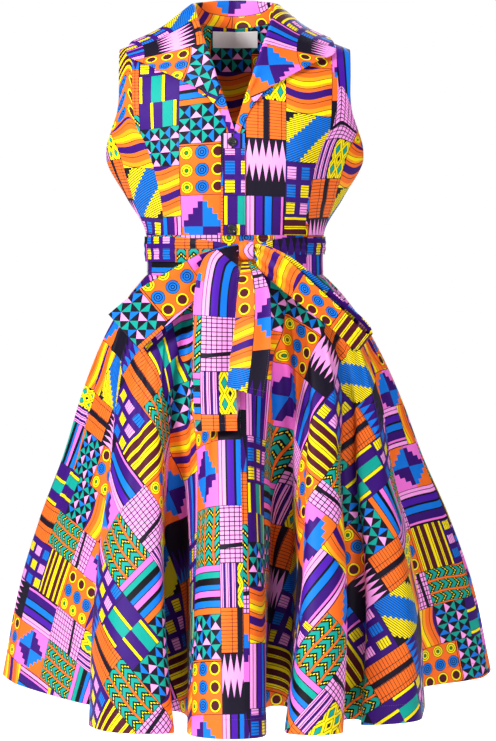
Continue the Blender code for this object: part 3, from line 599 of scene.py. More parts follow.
def sew(name, grid, places, kind, outward, spare=(0, 0, 0, 0), closed=False):
    cloth = clothKinds[kind]
    normals = gridNormals(grid, closed)
    faceOut = normals[len(grid) // 2][len(grid[0]) // 2].dot(outward) > 0
    inward = -cloth["thickness"] if faceOut else cloth["thickness"]
    rows = range(spare[0], len(grid) - spare[1])
    columns = list(range(spare[2], len(grid[0]) - spare[3]))
    points = [grid[j][i] for j in rows for i in columns]
    shift = len(points)
    points += [grid[j][i] + normals[j][i] * inward for j in rows for i in columns]
    where = [places[j][i] for j in rows for i in columns] * 2
    width, height = len(columns), len(rows)
    spans = width if closed else width - 1
    faces = []
    for j in range(height - 1):
        for i in range(spans):
            a, b = j * width + i, j * width + (i + 1) % width
            c, d = b + width, a + width
            faces += [(a, b, c, d), (shift + a, shift + d, shift + c, shift + b)]
    for i in range(spans):
        a, b = i, (i + 1) % width
        faces.append((b, a, shift + a, shift + b))
        a, b = a + (height - 1) * width, b + (height - 1) * width
        faces.append((a, b, shift + b, shift + a))
    if not closed:
        for j in range(height - 1):
            a, d = j * width, (j + 1) * width
            faces.append((a, d, shift + d, shift + a))
            a, d = a + width - 1, d + width - 1
            faces.append((d, a, shift + a, shift + d))
    if not faceOut:
        faces = [face[::-1] for face in faces]
    mesh = addMesh(name, points, faces, cloth["material"]).data
    corners = [value for loop in mesh.loops for value in where[loop.vertex_index]]
    mesh.uv_layers.new(name="clothPlace").data.foreach_set("uv", corners)
    mesh.set_sharp_from_angle(angle=sharpFold)
    if not faceOut:
        normals = [[-n for n in row] for row in normals]
    sewn[name] = {"grid": grid, "normals": normals, "kind": kind, "spare": spare}


def turned(places, turn, shift):
    # Turns the grain and slides the print, so that each piece has its own cut of the cloth
    c, s = math.cos(math.radians(turn)), math.sin(math.radians(turn))
    return [[(u * c - v * s + shift[0], u * s + v * c + shift[1]) for u, v in row] for row in places]


def girthTo(point, side, steps=14):
    # The way round the body at this height, from the middle out to the point
    before = figurePoint(0.0, point.z, side)
    total = 0.0
    for k in range(1, steps + 1):
        here = figurePoint(abs(point.x) * k / steps, point.z, side)
        total += (here - before).to_2d().length
        before = here
    return total


def panelPlaces(grid, anchor, fromFront=False):
    # Across from one column along each row, and up each column from the bottom
    rows, columns = len(grid), len(grid[0])
    across = [[0.0] * columns for row in grid]
    if fromFront:
        for j, row in enumerate(grid):
            across[j][anchor] = girthTo(row[anchor], -1)
    upward = [[0.0] * columns for row in grid]
    for j, row in enumerate(grid):
        for i in range(anchor + 1, columns):
            across[j][i] = across[j][i - 1] + (row[i] - row[i - 1]).to_2d().length
        for i in range(anchor - 1, -1, -1):
            across[j][i] = across[j][i + 1] - (row[i + 1] - row[i]).to_2d().length
    for i in range(columns):
        for j in range(rows - 2, -1, -1):
            upward[j][i] = upward[j + 1][i] + (grid[j][i] - grid[j + 1][i]).length
    return [[(across[j][i], upward[j][i]) for i in range(columns)] for j in range(rows)]


def stripPlaces(grid, anchor):
    # For strips: along one column of the grid, and out from it along the rows
    along = 0.0
    places = []
    for j, row in enumerate(grid):
        if j:
            along += (row[anchor] - grid[j - 1][anchor]).length
        line = [0.0] * len(row)
        for i in range(anchor + 1, len(row)):
            line[i] = line[i - 1] + (row[i] - row[i - 1]).length
        for i in range(anchor - 1, -1, -1):
            line[i] = line[i + 1] - (row[i + 1] - row[i]).length
        places.append([(u, along) for u in line])
    return places


# Bodice: six panels with princess seams
bodice = {
    "neckEdge": ((0.040, 0.010, -0.020, -0.045, -0.070, -0.100, -0.130, -0.180, -0.270),
                 (0.060, 0.048, 0.036, 0.026, 0.017, 0.008, 0.0003, 0.0003, 0.0003)),
    "princessSeam": ((0.010, -0.060, -0.110, -0.145, -0.190, -0.240, -0.270),
                     (0.146, 0.146, 0.141, 0.124, 0.110, 0.102, 0.101)),
    "armhole": ((0.000, -0.040, -0.070, -0.092, -0.118, -0.146, -0.161),
                (0.167, 0.166, 0.165, 0.167, 0.176, 0.1855, 0.187)),
    "backNeck": ((0.040, -0.100, -0.270), (0.060, 0.052, 0.046)),
    "middle": ((0.036, -0.270), (0.0, 0.0)),
    "princessTop": 0.146,
    "columns": {"front": (44,), "side": (24,), "back": (18, 36)},
    "rowsOverShoulder": 20, "rowsBelow": 56, "seamRadius": 0.13,
    "frontRight": {"turn": 0, "shift": (0.078, 0.034)},
    "frontLeft": {"turn": 0, "shift": (0.050, 0.036)},
    "sideRight": {"turn": 4, "shift": (0.190, 0.120)},
    "sideLeft": {"turn": -4, "shift": (0.060, 0.150)},
    "back": {"turn": 0, "shift": (0.286, 0.125)},
}


def lineX(line, z):
    keys, values = line
    if line is bodice["armhole"] and z < figure["underarm"]:
        return ringAt("halfWidth", z)
    return valueAt(tuple(-k for k in keys), values, -z)


def dropShares():
    total = ridgeZ(figure["neckX"]) - figure["beltTop"]
    turn = figure["shoulderRound"] / total
    first, below = bodice["rowsOverShoulder"], bodice["rowsBelow"]
    shares = [turn * (1 - math.cos(math.pi / 2 * k / first)) for k in range(first)]
    return shares + [turn + (1 - turn) * k / below for k in range(below + 1)]


def bodiceRow(lines, counts, share, side, hand, trims):
    row = []
    for n, count in enumerate(counts):
        ends = []
        for line, top in lines[n:n + 2]:
            z = mix(top, figure["beltTop"] + seamGap / 2, share)
            ends.append((angleOf(lineX(line, z), z), z))
        (angleIn, zIn), (angleOut, zOut) = ends
        if n == 0:
            angleIn += trims[0]
        last = n == len(counts) - 1
        if last:
            angleOut -= trims[1]
        half = ringAt("halfWidth", (zIn + zOut) / 2)
        ridges = [ridgeZ(half * math.sin(angle)) for angle in (angleIn, angleOut)]
        for k in range(-1 if n == 0 else 0, count + 2 if last else count):
            f = k / count
            angle, z = mix(angleIn, angleOut, f), mix(zIn, zOut, f)
            ridge = ridgeZ(half * math.sin(angle))
            follow = max(0.0, 1 - max(0.0, ridge - z) / figure["shoulderRound"])
            row.append(onFigure(hand * angle, z + (ridge - mix(*ridges, f)) * follow, side))
    return row


def bodiceGrid(lines, counts, side, hand, trims):
    shares = dropShares()
    grid = [bodiceRow(lines, counts, shares[1], -side, hand, trims)]
    return grid + [bodiceRow(lines, counts, share, side, hand, trims) for share in shares]


# Soft creases of the bodice: place, way of the crease, length, half width, depth
bodiceCreases = (
    (-0.085, -0.232, 62, 0.070, 0.0050, -0.0012),
    (-0.070, -0.250, 74, 0.050, 0.0045, 0.0009),
    (-0.110, -0.215, 40, 0.080, 0.0060, -0.0013),
    (-0.120, -0.185, 18, 0.060, 0.0055, -0.0010),
    (-0.045, -0.225, 80, 0.080, 0.0060, -0.0008),
    (0.082, -0.238, -66, 0.060, 0.0050, -0.0012),
    (0.064, -0.246, -78, 0.052, 0.0045, 0.0009),
    (0.108, -0.220, -38, 0.085, 0.0060, -0.0014),
    (0.124, -0.192, -16, 0.058, 0.0055, -0.0010),
    (0.038, -0.215, -84, 0.090, 0.0065, -0.0009),
    (-0.135, -0.075, -62, 0.060, 0.0070, -0.0010),
    (0.138, -0.082, 60, 0.056, 0.0070, -0.0010),
)


def creaseDepth(x, z, side):
    if side > 0:
        x, z = -x * 0.93, z + 0.012
    total = 0.0
    for middleX, middleZ, way, length, halfWidth, depth in bodiceCreases:
        dx, dz = x - middleX, z - middleZ
        if abs(dx) + abs(dz) > length * 0.5 + 4 * halfWidth:
            continue
        c, s = math.cos(math.radians(way)), math.sin(math.radians(way))
        along, across = (dx * c + dz * s) / (length / 2), (dz * c - dx * s) / halfWidth
        if abs(along) < 1 and abs(across) < 3:
            total += depth * (1 - along * along) ** 2 * math.exp(-across * across)
    return total


def makeBodice():
    seam = seamGap / 2 / bodice["seamRadius"]
    princess = (bodice["princessSeam"], ridgeZ(bodice["princessTop"]))
    panels = (("front", "front", ((bodice["neckEdge"], figure["neckZ"]), princess), (0.0, seam), True),
              ("sideFront", "side", (princess, (bodice["armhole"], 0.0)), (seam, 0.0), False))
    for hand, label in hands:
        for name, part, lines, trims, fromFront in panels:
            cut = bodice[part + label]
            grid = bodiceGrid(lines, bodice["columns"][part], -1, hand, trims)
            places = [[(hand * u, v) for u, v in row] for row in panelPlaces(grid, 1, fromFront)]
            places = turned(places, cut["turn"], cut["shift"])
            sew(name + label, grid, places, "cotton", frontWay, (1, 0, 1, 1))
    lines = ((bodice["middle"], figure["backNeckZ"]), (bodice["backNeck"], figure["neckZ"]),
             (bodice["armhole"], 0.0))
    left = bodiceGrid(lines, bodice["columns"]["back"], 1, 1, (0.0, 0.0))
    right = bodiceGrid(lines, bodice["columns"]["back"], 1, -1, (0.0, 0.0))
    grid = [r[:1:-1] + l[1:] for r, l in zip(right, left)]
    cut = bodice["back"]
    places = turned(panelPlaces(grid, len(grid[0]) // 2), cut["turn"], cut["shift"])
    sew("backBodice", grid, places, "cotton", backWay, (1, 0, 1, 1))


# Collar: a standing band that rolls over into a wide fall
collar = {
    "at": (0, 1, 2, 3, 4, 5, 6, 7, 8, 9),
    "neckX": (0.0180, 0.0225, 0.0285, 0.038, 0.048, 0.0565, 0.0598, 0.046, 0.025, 0.000),
    "neckRun": (-0.180, -0.1634, -0.141, -0.1131, -0.0816, -0.0435, 0.000, 0.034, 0.0546, 0.0709),
    "lift": (0.0034, 0.0034, 0.0034, 0.0030, 0.0024, 0.0016, 0.0012, 0.0010, 0.0010, 0.0010),
    "stand": (0.0055, 0.008, 0.011, 0.0145, 0.019, 0.022, 0.025, 0.0325, 0.039, 0.042),
    "lean": (20, 24, 30, 38, 52, 70, 82, 88, 90, 90),
    "edgeX": (0.0290, 0.044, 0.080, 0.120, 0.153, 0.147, 0.131, 0.096, 0.050, 0.000),
    "edgeRun": (-0.192, -0.1690, -0.1360, -0.1000, -0.0580, -0.0120, 0.0360, 0.0867, 0.1063, 0.1200),
    "fallShare": (0.30, 0.48, 0.66, 0.84, 1.00),
    "fallHeight": (0.42, 0.20, 0.08, 0.02, 0.00),
    "fallLift": 5.2 * mm, "roll": 3.6 * mm, "leftReach": 0.93,
    "sectionsPerStep": 9, "pointsPerSpan": 3,
    "cutRadius": 0.115, "turn": 90, "shift": (0.100, 0.300),
    "edgeWave": 1.1 * mm,
}


def collarSection(at, hand):
    columns = ("neckX", "neckRun", "lift", "stand", "lean", "edgeX", "edgeRun")
    neckX, neckRun, lift, stand, lean, edgeX, edgeRun = (
        valueAt(collar["at"], collar[column], at) for column in columns)
    if hand > 0:
        edgeX *= mix(1.0, collar["leftReach"], min(1.0, edgeX / 0.08))
    lean = math.radians(lean)
    up = Vector((0, -math.cos(lean), math.sin(lean)))
    base = overShoulder(neckX, neckRun, lift)
    base -= Vector((base.x, base.y, 0)).normalized() * 2.2 * mm * clamp(at - 3.5)
    roll = min(collar["roll"], stand * 0.42)
    away = overShoulder(mix(neckX, edgeX, 0.4), mix(neckRun, edgeRun, 0.4), stand) - base
    out = (away - up * away.dot(up)).normalized()
    points = [
        base,
        base + up * (stand - roll) * 0.6,
        base + up * (stand - roll),
        base + up * (stand - roll * 0.3) + out * roll * 0.3,
        base + up * stand + out * roll,
        base + up * (stand - roll * 0.4) + out * roll * 1.9,
    ]
    for share, height in zip(collar["fallShare"], collar["fallHeight"]):
        wave = math.sin(at * 2.4 + hand * 0.9) * collar["edgeWave"] * share * share
        x, run = mix(neckX, edgeX, share), mix(neckRun, edgeRun, share)
        points.append(overShoulder(x, run, collar["fallLift"] + height * stand + max(0.0, wave)))
    for point in points:
        point.x *= hand
    return smoothPath(points, collar["pointsPerSpan"])


def arcPlaces(places, radius):
    # The collar is cut as an arc, so its grain turns from the middle of the back to the points
    return [[((radius + out) * math.sin(along / radius), -(radius + out) * math.cos(along / radius))
             for along, out in row] for row in places]


def makeCollar():
    count = collar["at"][-1] * collar["sectionsPerStep"]
    grid = [collarSection(n / collar["sectionsPerStep"], -1) for n in range(count + 1)]
    grid += [collarSection(n / collar["sectionsPerStep"], 1) for n in range(count)][::-1]
    places = stripPlaces(grid, 8)
    middle = places[count][0][1]
    places = arcPlaces([[(v - middle, u) for u, v in row] for row in places], collar["cutRadius"])
    sew("turnedCollar", grid, turned(places, collar["turn"], collar["shift"]), "doubled", Vector((0, 0.3, 1)))


# Lapels: the strip of each front edge that is turned out beside the V
lapel = {
    "z": (-0.1285, -0.115, -0.100, -0.085, -0.072, -0.060, -0.046, -0.034),
    "width": (0.0075, 0.0090, 0.0110, 0.0150, 0.0240, 0.0330, 0.0240, 0.0120),
    "lift": 2.3 * mm, "turn": 20, "shift": {"Right": (0.012, 0.060), "Left": (0.030, 0.080)},
    "rows": 28, "columns": 8,
}


def makeLapels():
    for hand, label in hands:
        grid = []
        for j in range(lapel["rows"] + 1):
            z = mix(lapel["z"][0], lapel["z"][-1], j / lapel["rows"])
            width = valueAt(lapel["z"], lapel["width"], z)
            start = lineX(bodice["neckEdge"], z)
            line = []
            for k in range(lapel["columns"] + 1):
                reach = width * k / lapel["columns"]
                point = lifted(start + reach, z - 0.25 * reach, -1, lapel["lift"])
                point.x *= hand
                line.append(point)
            grid.append(line)
        places = turned(stripPlaces(grid, 0), lapel["turn"] * hand, lapel["shift"][label])
        sew("lapel" + label, grid, places, "cotton", frontWay)


# Placket with its buttons
placket = {"left": -0.0187, "right": 0.0148, "top": -0.1305, "lift": 2.8 * mm,
           "rows": 56, "columns": 14, "shift": (0.262, 0.230), "softSag": 0.5 * mm}
button = {"x": -0.0035, "radius": 6.8 * mm, "thickness": 2.6 * mm, "shank": 1.3 * mm,
          "heights": {"buttonUpper": -0.1425, "buttonLower": -0.261},
          "rings": 22, "segments": 56, "holeRadius": 0.6 * mm, "holePlace": 1.26 * mm,
          "holeDepth": 1.3 * mm, "dished": 0.6, "edge": ((1.0, 0.4), (0.98, 0.2), (0.9, 0.02)),
          "profile": ((0.0, 0.62, 0.74, 0.90, 1.0), (0.72, 0.72, 0.98, 1.0, 0.62))}


def makePlacket():
    grid = []
    for j in range(placket["rows"] + 1):
        z = mix(placket["top"], figure["beltTop"] + seamGap / 2, j / placket["rows"])
        line = []
        for i in range(placket["columns"] + 1):
            share = i / placket["columns"]
            sag = placket["softSag"] * math.sin(math.pi * share) * math.sin(j * 0.33 + 0.8) ** 2
            x = mix(placket["left"], placket["right"], share)
            line.append(lifted(x, z, -1, placket["lift"] + sag))
        grid.append(line)
    places = [[(u, -v) for u, v in row] for row in stripPlaces(grid, placket["columns"] // 2)]
    sew("frontPlacket", grid, turned(places, 0, placket["shift"]), "doubled", frontWay)


def makeButton(name, z):
    out = figureNormal(button["x"], z, -1)
    centre = lifted(button["x"], z, -1, layerGap + foldedCloth + button["shank"])
    side = Vector((0, 0, 1)).cross(out).normalized()
    up = out.cross(side)
    rings, segments = button["rings"], button["segments"]
    vertices, faces = [], []

    def ringOf(radius, height, dimples):
        for k in range(segments):
            angle = 2 * math.pi * k / segments
            x, y = radius * math.cos(angle), radius * math.sin(angle)
            drop = 0.0
            if dimples:
                away = math.hypot(abs(x) - button["holePlace"], abs(y) - button["holePlace"])
                drop = button["holeDepth"] * (1 - smooth(away / button["holeRadius"] - 1))
            vertices.append(centre + side * x + up * y + out * (height - drop))

    for r in range(1, rings + 1):
        share = r / rings
        height = button["thickness"] * valueAt(*button["profile"], share)
        ringOf(button["radius"] * share, height, share < button["dished"])
    for share, height in button["edge"]:
        ringOf(button["radius"] * share, button["thickness"] * height, False)
    vertices.append(centre + out * button["thickness"] * button["profile"][1][0])
    vertices.append(centre)
    for r in range(rings + 2):
        for k in range(segments):
            a, b = r * segments + k, r * segments + (k + 1) % segments
            faces.append((a, a + segments, b + segments, b))
    last = (rings + 2) * segments
    for k in range(segments):
        faces.append((len(vertices) - 2, k, (k + 1) % segments))
        faces.append((len(vertices) - 1, last + (k + 1) % segments, last + k))
    addMesh(name, vertices, faces, buttonMaterial)


# Label at the back of the neck, without any words
label = {"width": 0.068, "top": 0.0340, "bottom": 0.0120, "inside": 3.2 * mm, "rows": 6, "columns": 20}


def makeLabel():
    grid = []
    for j in range(label["rows"] + 1):
        z = mix(label["top"], label["bottom"], j / label["rows"])
        grid.append([lifted(mix(-0.5, 0.5, i / label["columns"]) * label["width"], z, 1, -label["inside"])
                     for i in range(label["columns"] + 1)])
    sew("neckLabel", grid, stripPlaces(grid, label["columns"] // 2), "label", backWay)


# Waistband in three pieces, with soft creases where the body bends
waistband = {"rows": 12, "shift": (0.140, 0.210), "rumple": 0.5 * mm, "waves": (17, 5, 0.9),
             "grainRadius": 0.116,
             "stretches": (("waistbandFrontRight", -90, 0, 60), ("waistbandFrontLeft", 0, 90, 60),
                           ("waistbandBack", 90, 270, 110))}


def waistPoint(angle, z, out=0.0):
    x = ringAt("halfWidth", z) * math.sin(angle)
    depth = ringAt("front" if math.cos(angle) > 0 else "back", z)
    point = Vector((x, -depth * math.cos(angle), z))
    return point + Vector((math.sin(angle), -math.cos(angle), 0)) * out


def makeWaistband():
    trim = seamGap / 2 / figure["waistRadius"]
    often, uneven, upward = waistband["waves"]
    top, bottom = figure["beltTop"] - seamGap / 2, figure["beltBottom"] + seamGap / 2
    for name, first, last, count in waistband["stretches"]:
        start, end = math.radians(first) + trim, math.radians(last) - trim
        grid, places = [], []
        for j in range(waistband["rows"] + 1):
            z = mix(top, bottom, j / waistband["rows"])
            line, place = [], []
            for i in range(-1, count + 2):
                angle = mix(start, end, i / count)
                share = math.sin(math.pi * j / waistband["rows"])
                wander = math.sin(angle * often + 2 * math.sin(angle * uneven))
                rumple = waistband["rumple"] * share * wander * math.sin(j * upward)
                line.append(waistPoint(angle, z, min(0.0, rumple)))
                place.append((angle * waistband["grainRadius"], z))
            grid.append(line)
            places.append(place)
        middle = (start + end) / 2
        out = Vector((math.sin(middle), -math.cos(middle), 0))
        sew(name, grid, turned(places, 0, waistband["shift"]), "cotton", out, (0, 0, 1, 1))


# Sash: round the waist, knotted into a bow with two loops and two hanging ends
sash = {
    "angle": (14.0, 26.0, 50.0, 90.0, 180.0, 270.0, 320.0, 345.0, 361.5),
    "top": (-0.2830, -0.2760, -0.2725, -0.2715, -0.2720, -0.2715, -0.2725, -0.2780, -0.2840),
    "bottom": (-0.3010, -0.2990, -0.2975, -0.2975, -0.3030, -0.3075, -0.3085, -0.3040, -0.3000),
    "columns": 260, "rows": 16, "pleat": 0.55 * mm, "puff": 1.2 * mm, "foldedIn": 1.15,
    "shift": (0.142, 0.143),
    "knotCentre": Vector((0.0165, -0.1139, -0.2920)), "knotWidth": 0.0200,
    "knotHeight": 0.0290, "knotDepth": 0.0245, "knotShift": (0.070, 0.060),
    "knotSegments": 72, "knotRows": 22, "knotSqueeze": 0.16, "knotPleat": 0.035, "knotCorner": 0.8,
    "knotTurn": 35, "knotGrain": (0.010, 0.0135),
    "loopRight": {
        "rows": ((0.0050, -0.1155, -0.2910, 0.017, 82, 0, 0.006),
                 (-0.0150, -0.1215, -0.3005, 0.027, 66, 5, 0.009),
                 (-0.0430, -0.1320, -0.3180, 0.044, 58, 8, 0.013),
                 (-0.0800, -0.1430, -0.3460, 0.056, 53, 6, 0.015),
                 (-0.1150, -0.1440, -0.3720, 0.063, 50, 2, 0.015),
                 (-0.1480, -0.1370, -0.4010, 0.066, 48, -3, 0.012)),
        "shift": (0.040, 0.020)},
    "loopLeft": {
        "rows": ((0.0292, -0.1155, -0.2910, 0.016, 92, 4, 0.006),
                 (0.0440, -0.1270, -0.3030, 0.034, 112, 18, 0.009),
                 (0.0720, -0.1440, -0.3230, 0.044, 118, 34, 0.012),
                 (0.1090, -0.1560, -0.3530, 0.046, 121, 46, 0.014),
                 (0.1450, -0.1560, -0.3820, 0.046, 122, 52, 0.015),
                 (0.1780, -0.1460, -0.4130, 0.045, 121, 54, 0.014)),
        "shift": (0.160, 0.210)},
    "tailRight": {
        "rows": ((0.0050, -0.2840, 0.0061, -0.3020, -0.1228, 0.0),
                 (-0.0160, -0.2880, 0.0056, -0.3110, -0.1390, 0.001),
                 (-0.0390, -0.2990, 0.0064, -0.3200, -0.1490, 0.002),
                 (-0.0500, -0.3240, 0.0058, -0.3390, -0.1570, 0.004),
                 (-0.0555, -0.3620, 0.0045, -0.3680, -0.1680, 0.005),
                 (-0.0560, -0.4120, 0.0035, -0.4140, -0.1850, 0.005),
                 (-0.0555, -0.4720, 0.0030, -0.4730, -0.2070, 0.004),
                 (-0.0520, -0.5340, 0.0045, -0.5330, -0.2300, 0.003)),
        "shift": (0.086, 0.120)},
    "tailLeft": {
        "rows": ((0.0105, -0.3067, 0.0225, -0.3067, -0.1180, 0.0),
                 (0.0090, -0.3150, 0.0290, -0.3140, -0.1400, 0.001),
                 (0.0070, -0.3290, 0.0380, -0.3230, -0.1600, 0.002),
                 (0.0040, -0.3560, 0.0480, -0.3480, -0.1790, 0.005),
                 (0.0000, -0.4000, 0.0500, -0.3920, -0.1990, 0.006),
                 (-0.0060, -0.4430, 0.0480, -0.4400, -0.2200, 0.005),
                 (-0.0090, -0.4730, 0.0400, -0.4880, -0.2360, 0.004)),
        "shift": (0.190, 0.040)},
    "loopPleat": 1.7 * mm, "stripColumns": 26, "perSpan": 9,
}


def makeSashRoundWaist():
    out = layerGap + foldedCloth
    grid, places = [], []
    for j in range(sash["rows"] + 1):
        down = j / sash["rows"]
        line, place = [], []
        for i in range(sash["columns"] + 1):
            angle = mix(sash["angle"][0], sash["angle"][-1], i / sash["columns"])
            z = mix(valueAt(sash["angle"], sash["top"], angle),
                    valueAt(sash["angle"], sash["bottom"], angle), down)
            drift = 0.7 * math.sin(math.radians(angle) * 2.3 + 0.6)
            pleat = sash["pleat"] * math.sin(2 * math.pi * (2.6 * down + drift)) * math.sin(math.pi * down)
            lift = out + sash["puff"] * math.sin(math.pi * down) + pleat
            line.append(waistPoint(math.radians(angle), z, lift))
            place.append((math.radians(angle) * figure["waistRadius"], z * sash["foldedIn"]))
        grid.append(line)
        places.append(place)
    sew("sashRoundWaist", grid, turned(places, 0, sash["shift"]), "doubled", backWay)


def makeKnot():
    count, rows, corner = sash["knotSegments"], sash["knotRows"], sash["knotCorner"]
    wide, high = sash["knotGrain"]
    grid, places = [], []
    for j in range(rows + 1):
        across = mix(-1, 1, j / rows)
        squeeze = 1 - sash["knotSqueeze"] * across * across
        line, place = [], []
        for i in range(count):
            angle = 2 * math.pi * i / count
            c, s = math.cos(angle), math.sin(angle)
            pleat = 1 + sash["knotPleat"] * math.sin(9 * across + 2.2 * s) * (1 - across * across)
            line.append(sash["knotCentre"] + Vector((
                across * sash["knotWidth"] / 2,
                sash["knotDepth"] / 2 * squeeze * pleat * math.copysign(abs(c) ** corner, c),
                sash["knotHeight"] / 2 * squeeze * pleat * math.copysign(abs(s) ** corner, s))))
            place.append((across * wide, abs(math.pi - angle) * high))
        grid.append(line)
        places.append(place)
    out = grid[rows // 2][count // 2] - sash["knotCentre"]
    sew("sashKnot", grid, turned(places, sash["knotTurn"], sash["knotShift"]), "sash", out, closed=True)


def loopFrame(start, end, row):
    along = Vector([b - a for a, b in zip(start[:3], end[:3])]).normalized()
    slope, tilt = math.radians(row[4]), math.radians(row[5])
    across = Vector((math.cos(slope), 0, -math.sin(slope))) * math.cos(tilt)
    across += backWay * math.sin(tilt)
    out = along.cross(across).normalized()
    return along, across, out if out.y < 0 else -out


def makeLoop(name, cut):
    rows = cut["rows"]
    front, back = [], []
    for i, row in enumerate(rows):
        last = i + 1 == len(rows)
        along, across, out = loopFrame(rows[i - 1] if last else row, rows[min(i + 1, len(rows) - 1)], row)
        middle, half, parting = Vector(row[:3]), across * row[3] / 2, row[6]
        for layer, sign in ((front, 0.5), (back, -0.5)):
            layer.append((middle + out * parting * sign, half, out))
    turn = (middle + along * parting * 0.55, half * 1.01, out)
    stations = front + [turn] + back[::-1]
    centres, halves, outs = (smoothPath([s[k] for s in stations], sash["perSpan"]) for k in range(3))
    grid = []
    for n, (centre, half, out) in enumerate(zip(centres, halves, outs)):
        share = min(n, len(centres) - 1 - n) / (len(centres) / 2)
        pleat = sash["loopPleat"] * (0.25 + 0.75 * max(0.0, 1 - share * 1.9))
        line = []
        for k in range(sash["stripColumns"] + 1):
            across = mix(-1, 1, k / sash["stripColumns"])
            soft = 0.6 * math.sin(math.pi * (1.1 * across + 1.6 * share))
            lift = pleat * (math.sin(math.pi * (2.2 * across + 0.5 * share)) + soft)
            line.append(centre + half * across + out * lift * (1 - 0.35 * across * across))
        grid.append(line)
    normals = gridNormals(grid)
    tip = normals[len(grid) // 2][len(grid[0]) // 2]
    sign = 1 if normals[9][9].dot(outs[9]) > 0 else -1
    places = stripPlaces(grid, sash["stripColumns"] // 2)
    sew(name, grid, turned(places, 0, cut["shift"]), "sash", tip * sign)


def makeTail(name, cut):
    rows = cut["rows"]
    lefts = smoothPath([Vector((r[0], r[4], r[1])) for r in rows], sash["perSpan"])
    rights = smoothPath([Vector((r[2], r[4], r[3])) for r in rows], sash["perSpan"])
    curls = smoothPath([Vector((r[5], 0, 0)) for r in rows], sash["perSpan"])
    grid = []
    for n, (left, right, curl) in enumerate(zip(lefts, rights, curls)):
        down = n / (len(lefts) - 1)
        line = []
        for k in range(sash["stripColumns"] + 1):
            f = k / sash["stripColumns"]
            forward = -curl.x * math.sin(math.pi * f) + 0.3 * curl.x * math.sin(3 * math.pi * f)
            forward += 0.25 * curl.x * math.sin(2 * math.pi * f + 5 * down)
            line.append(left.lerp(right, f) + Vector((0, forward, 0)))
        grid.append(line)
    places = [[(u, -v) for u, v in row] for row in stripPlaces(grid, sash["stripColumns"] // 2)]
    sew(name, grid, turned(places, 0, cut["shift"]), "sash", frontWay)


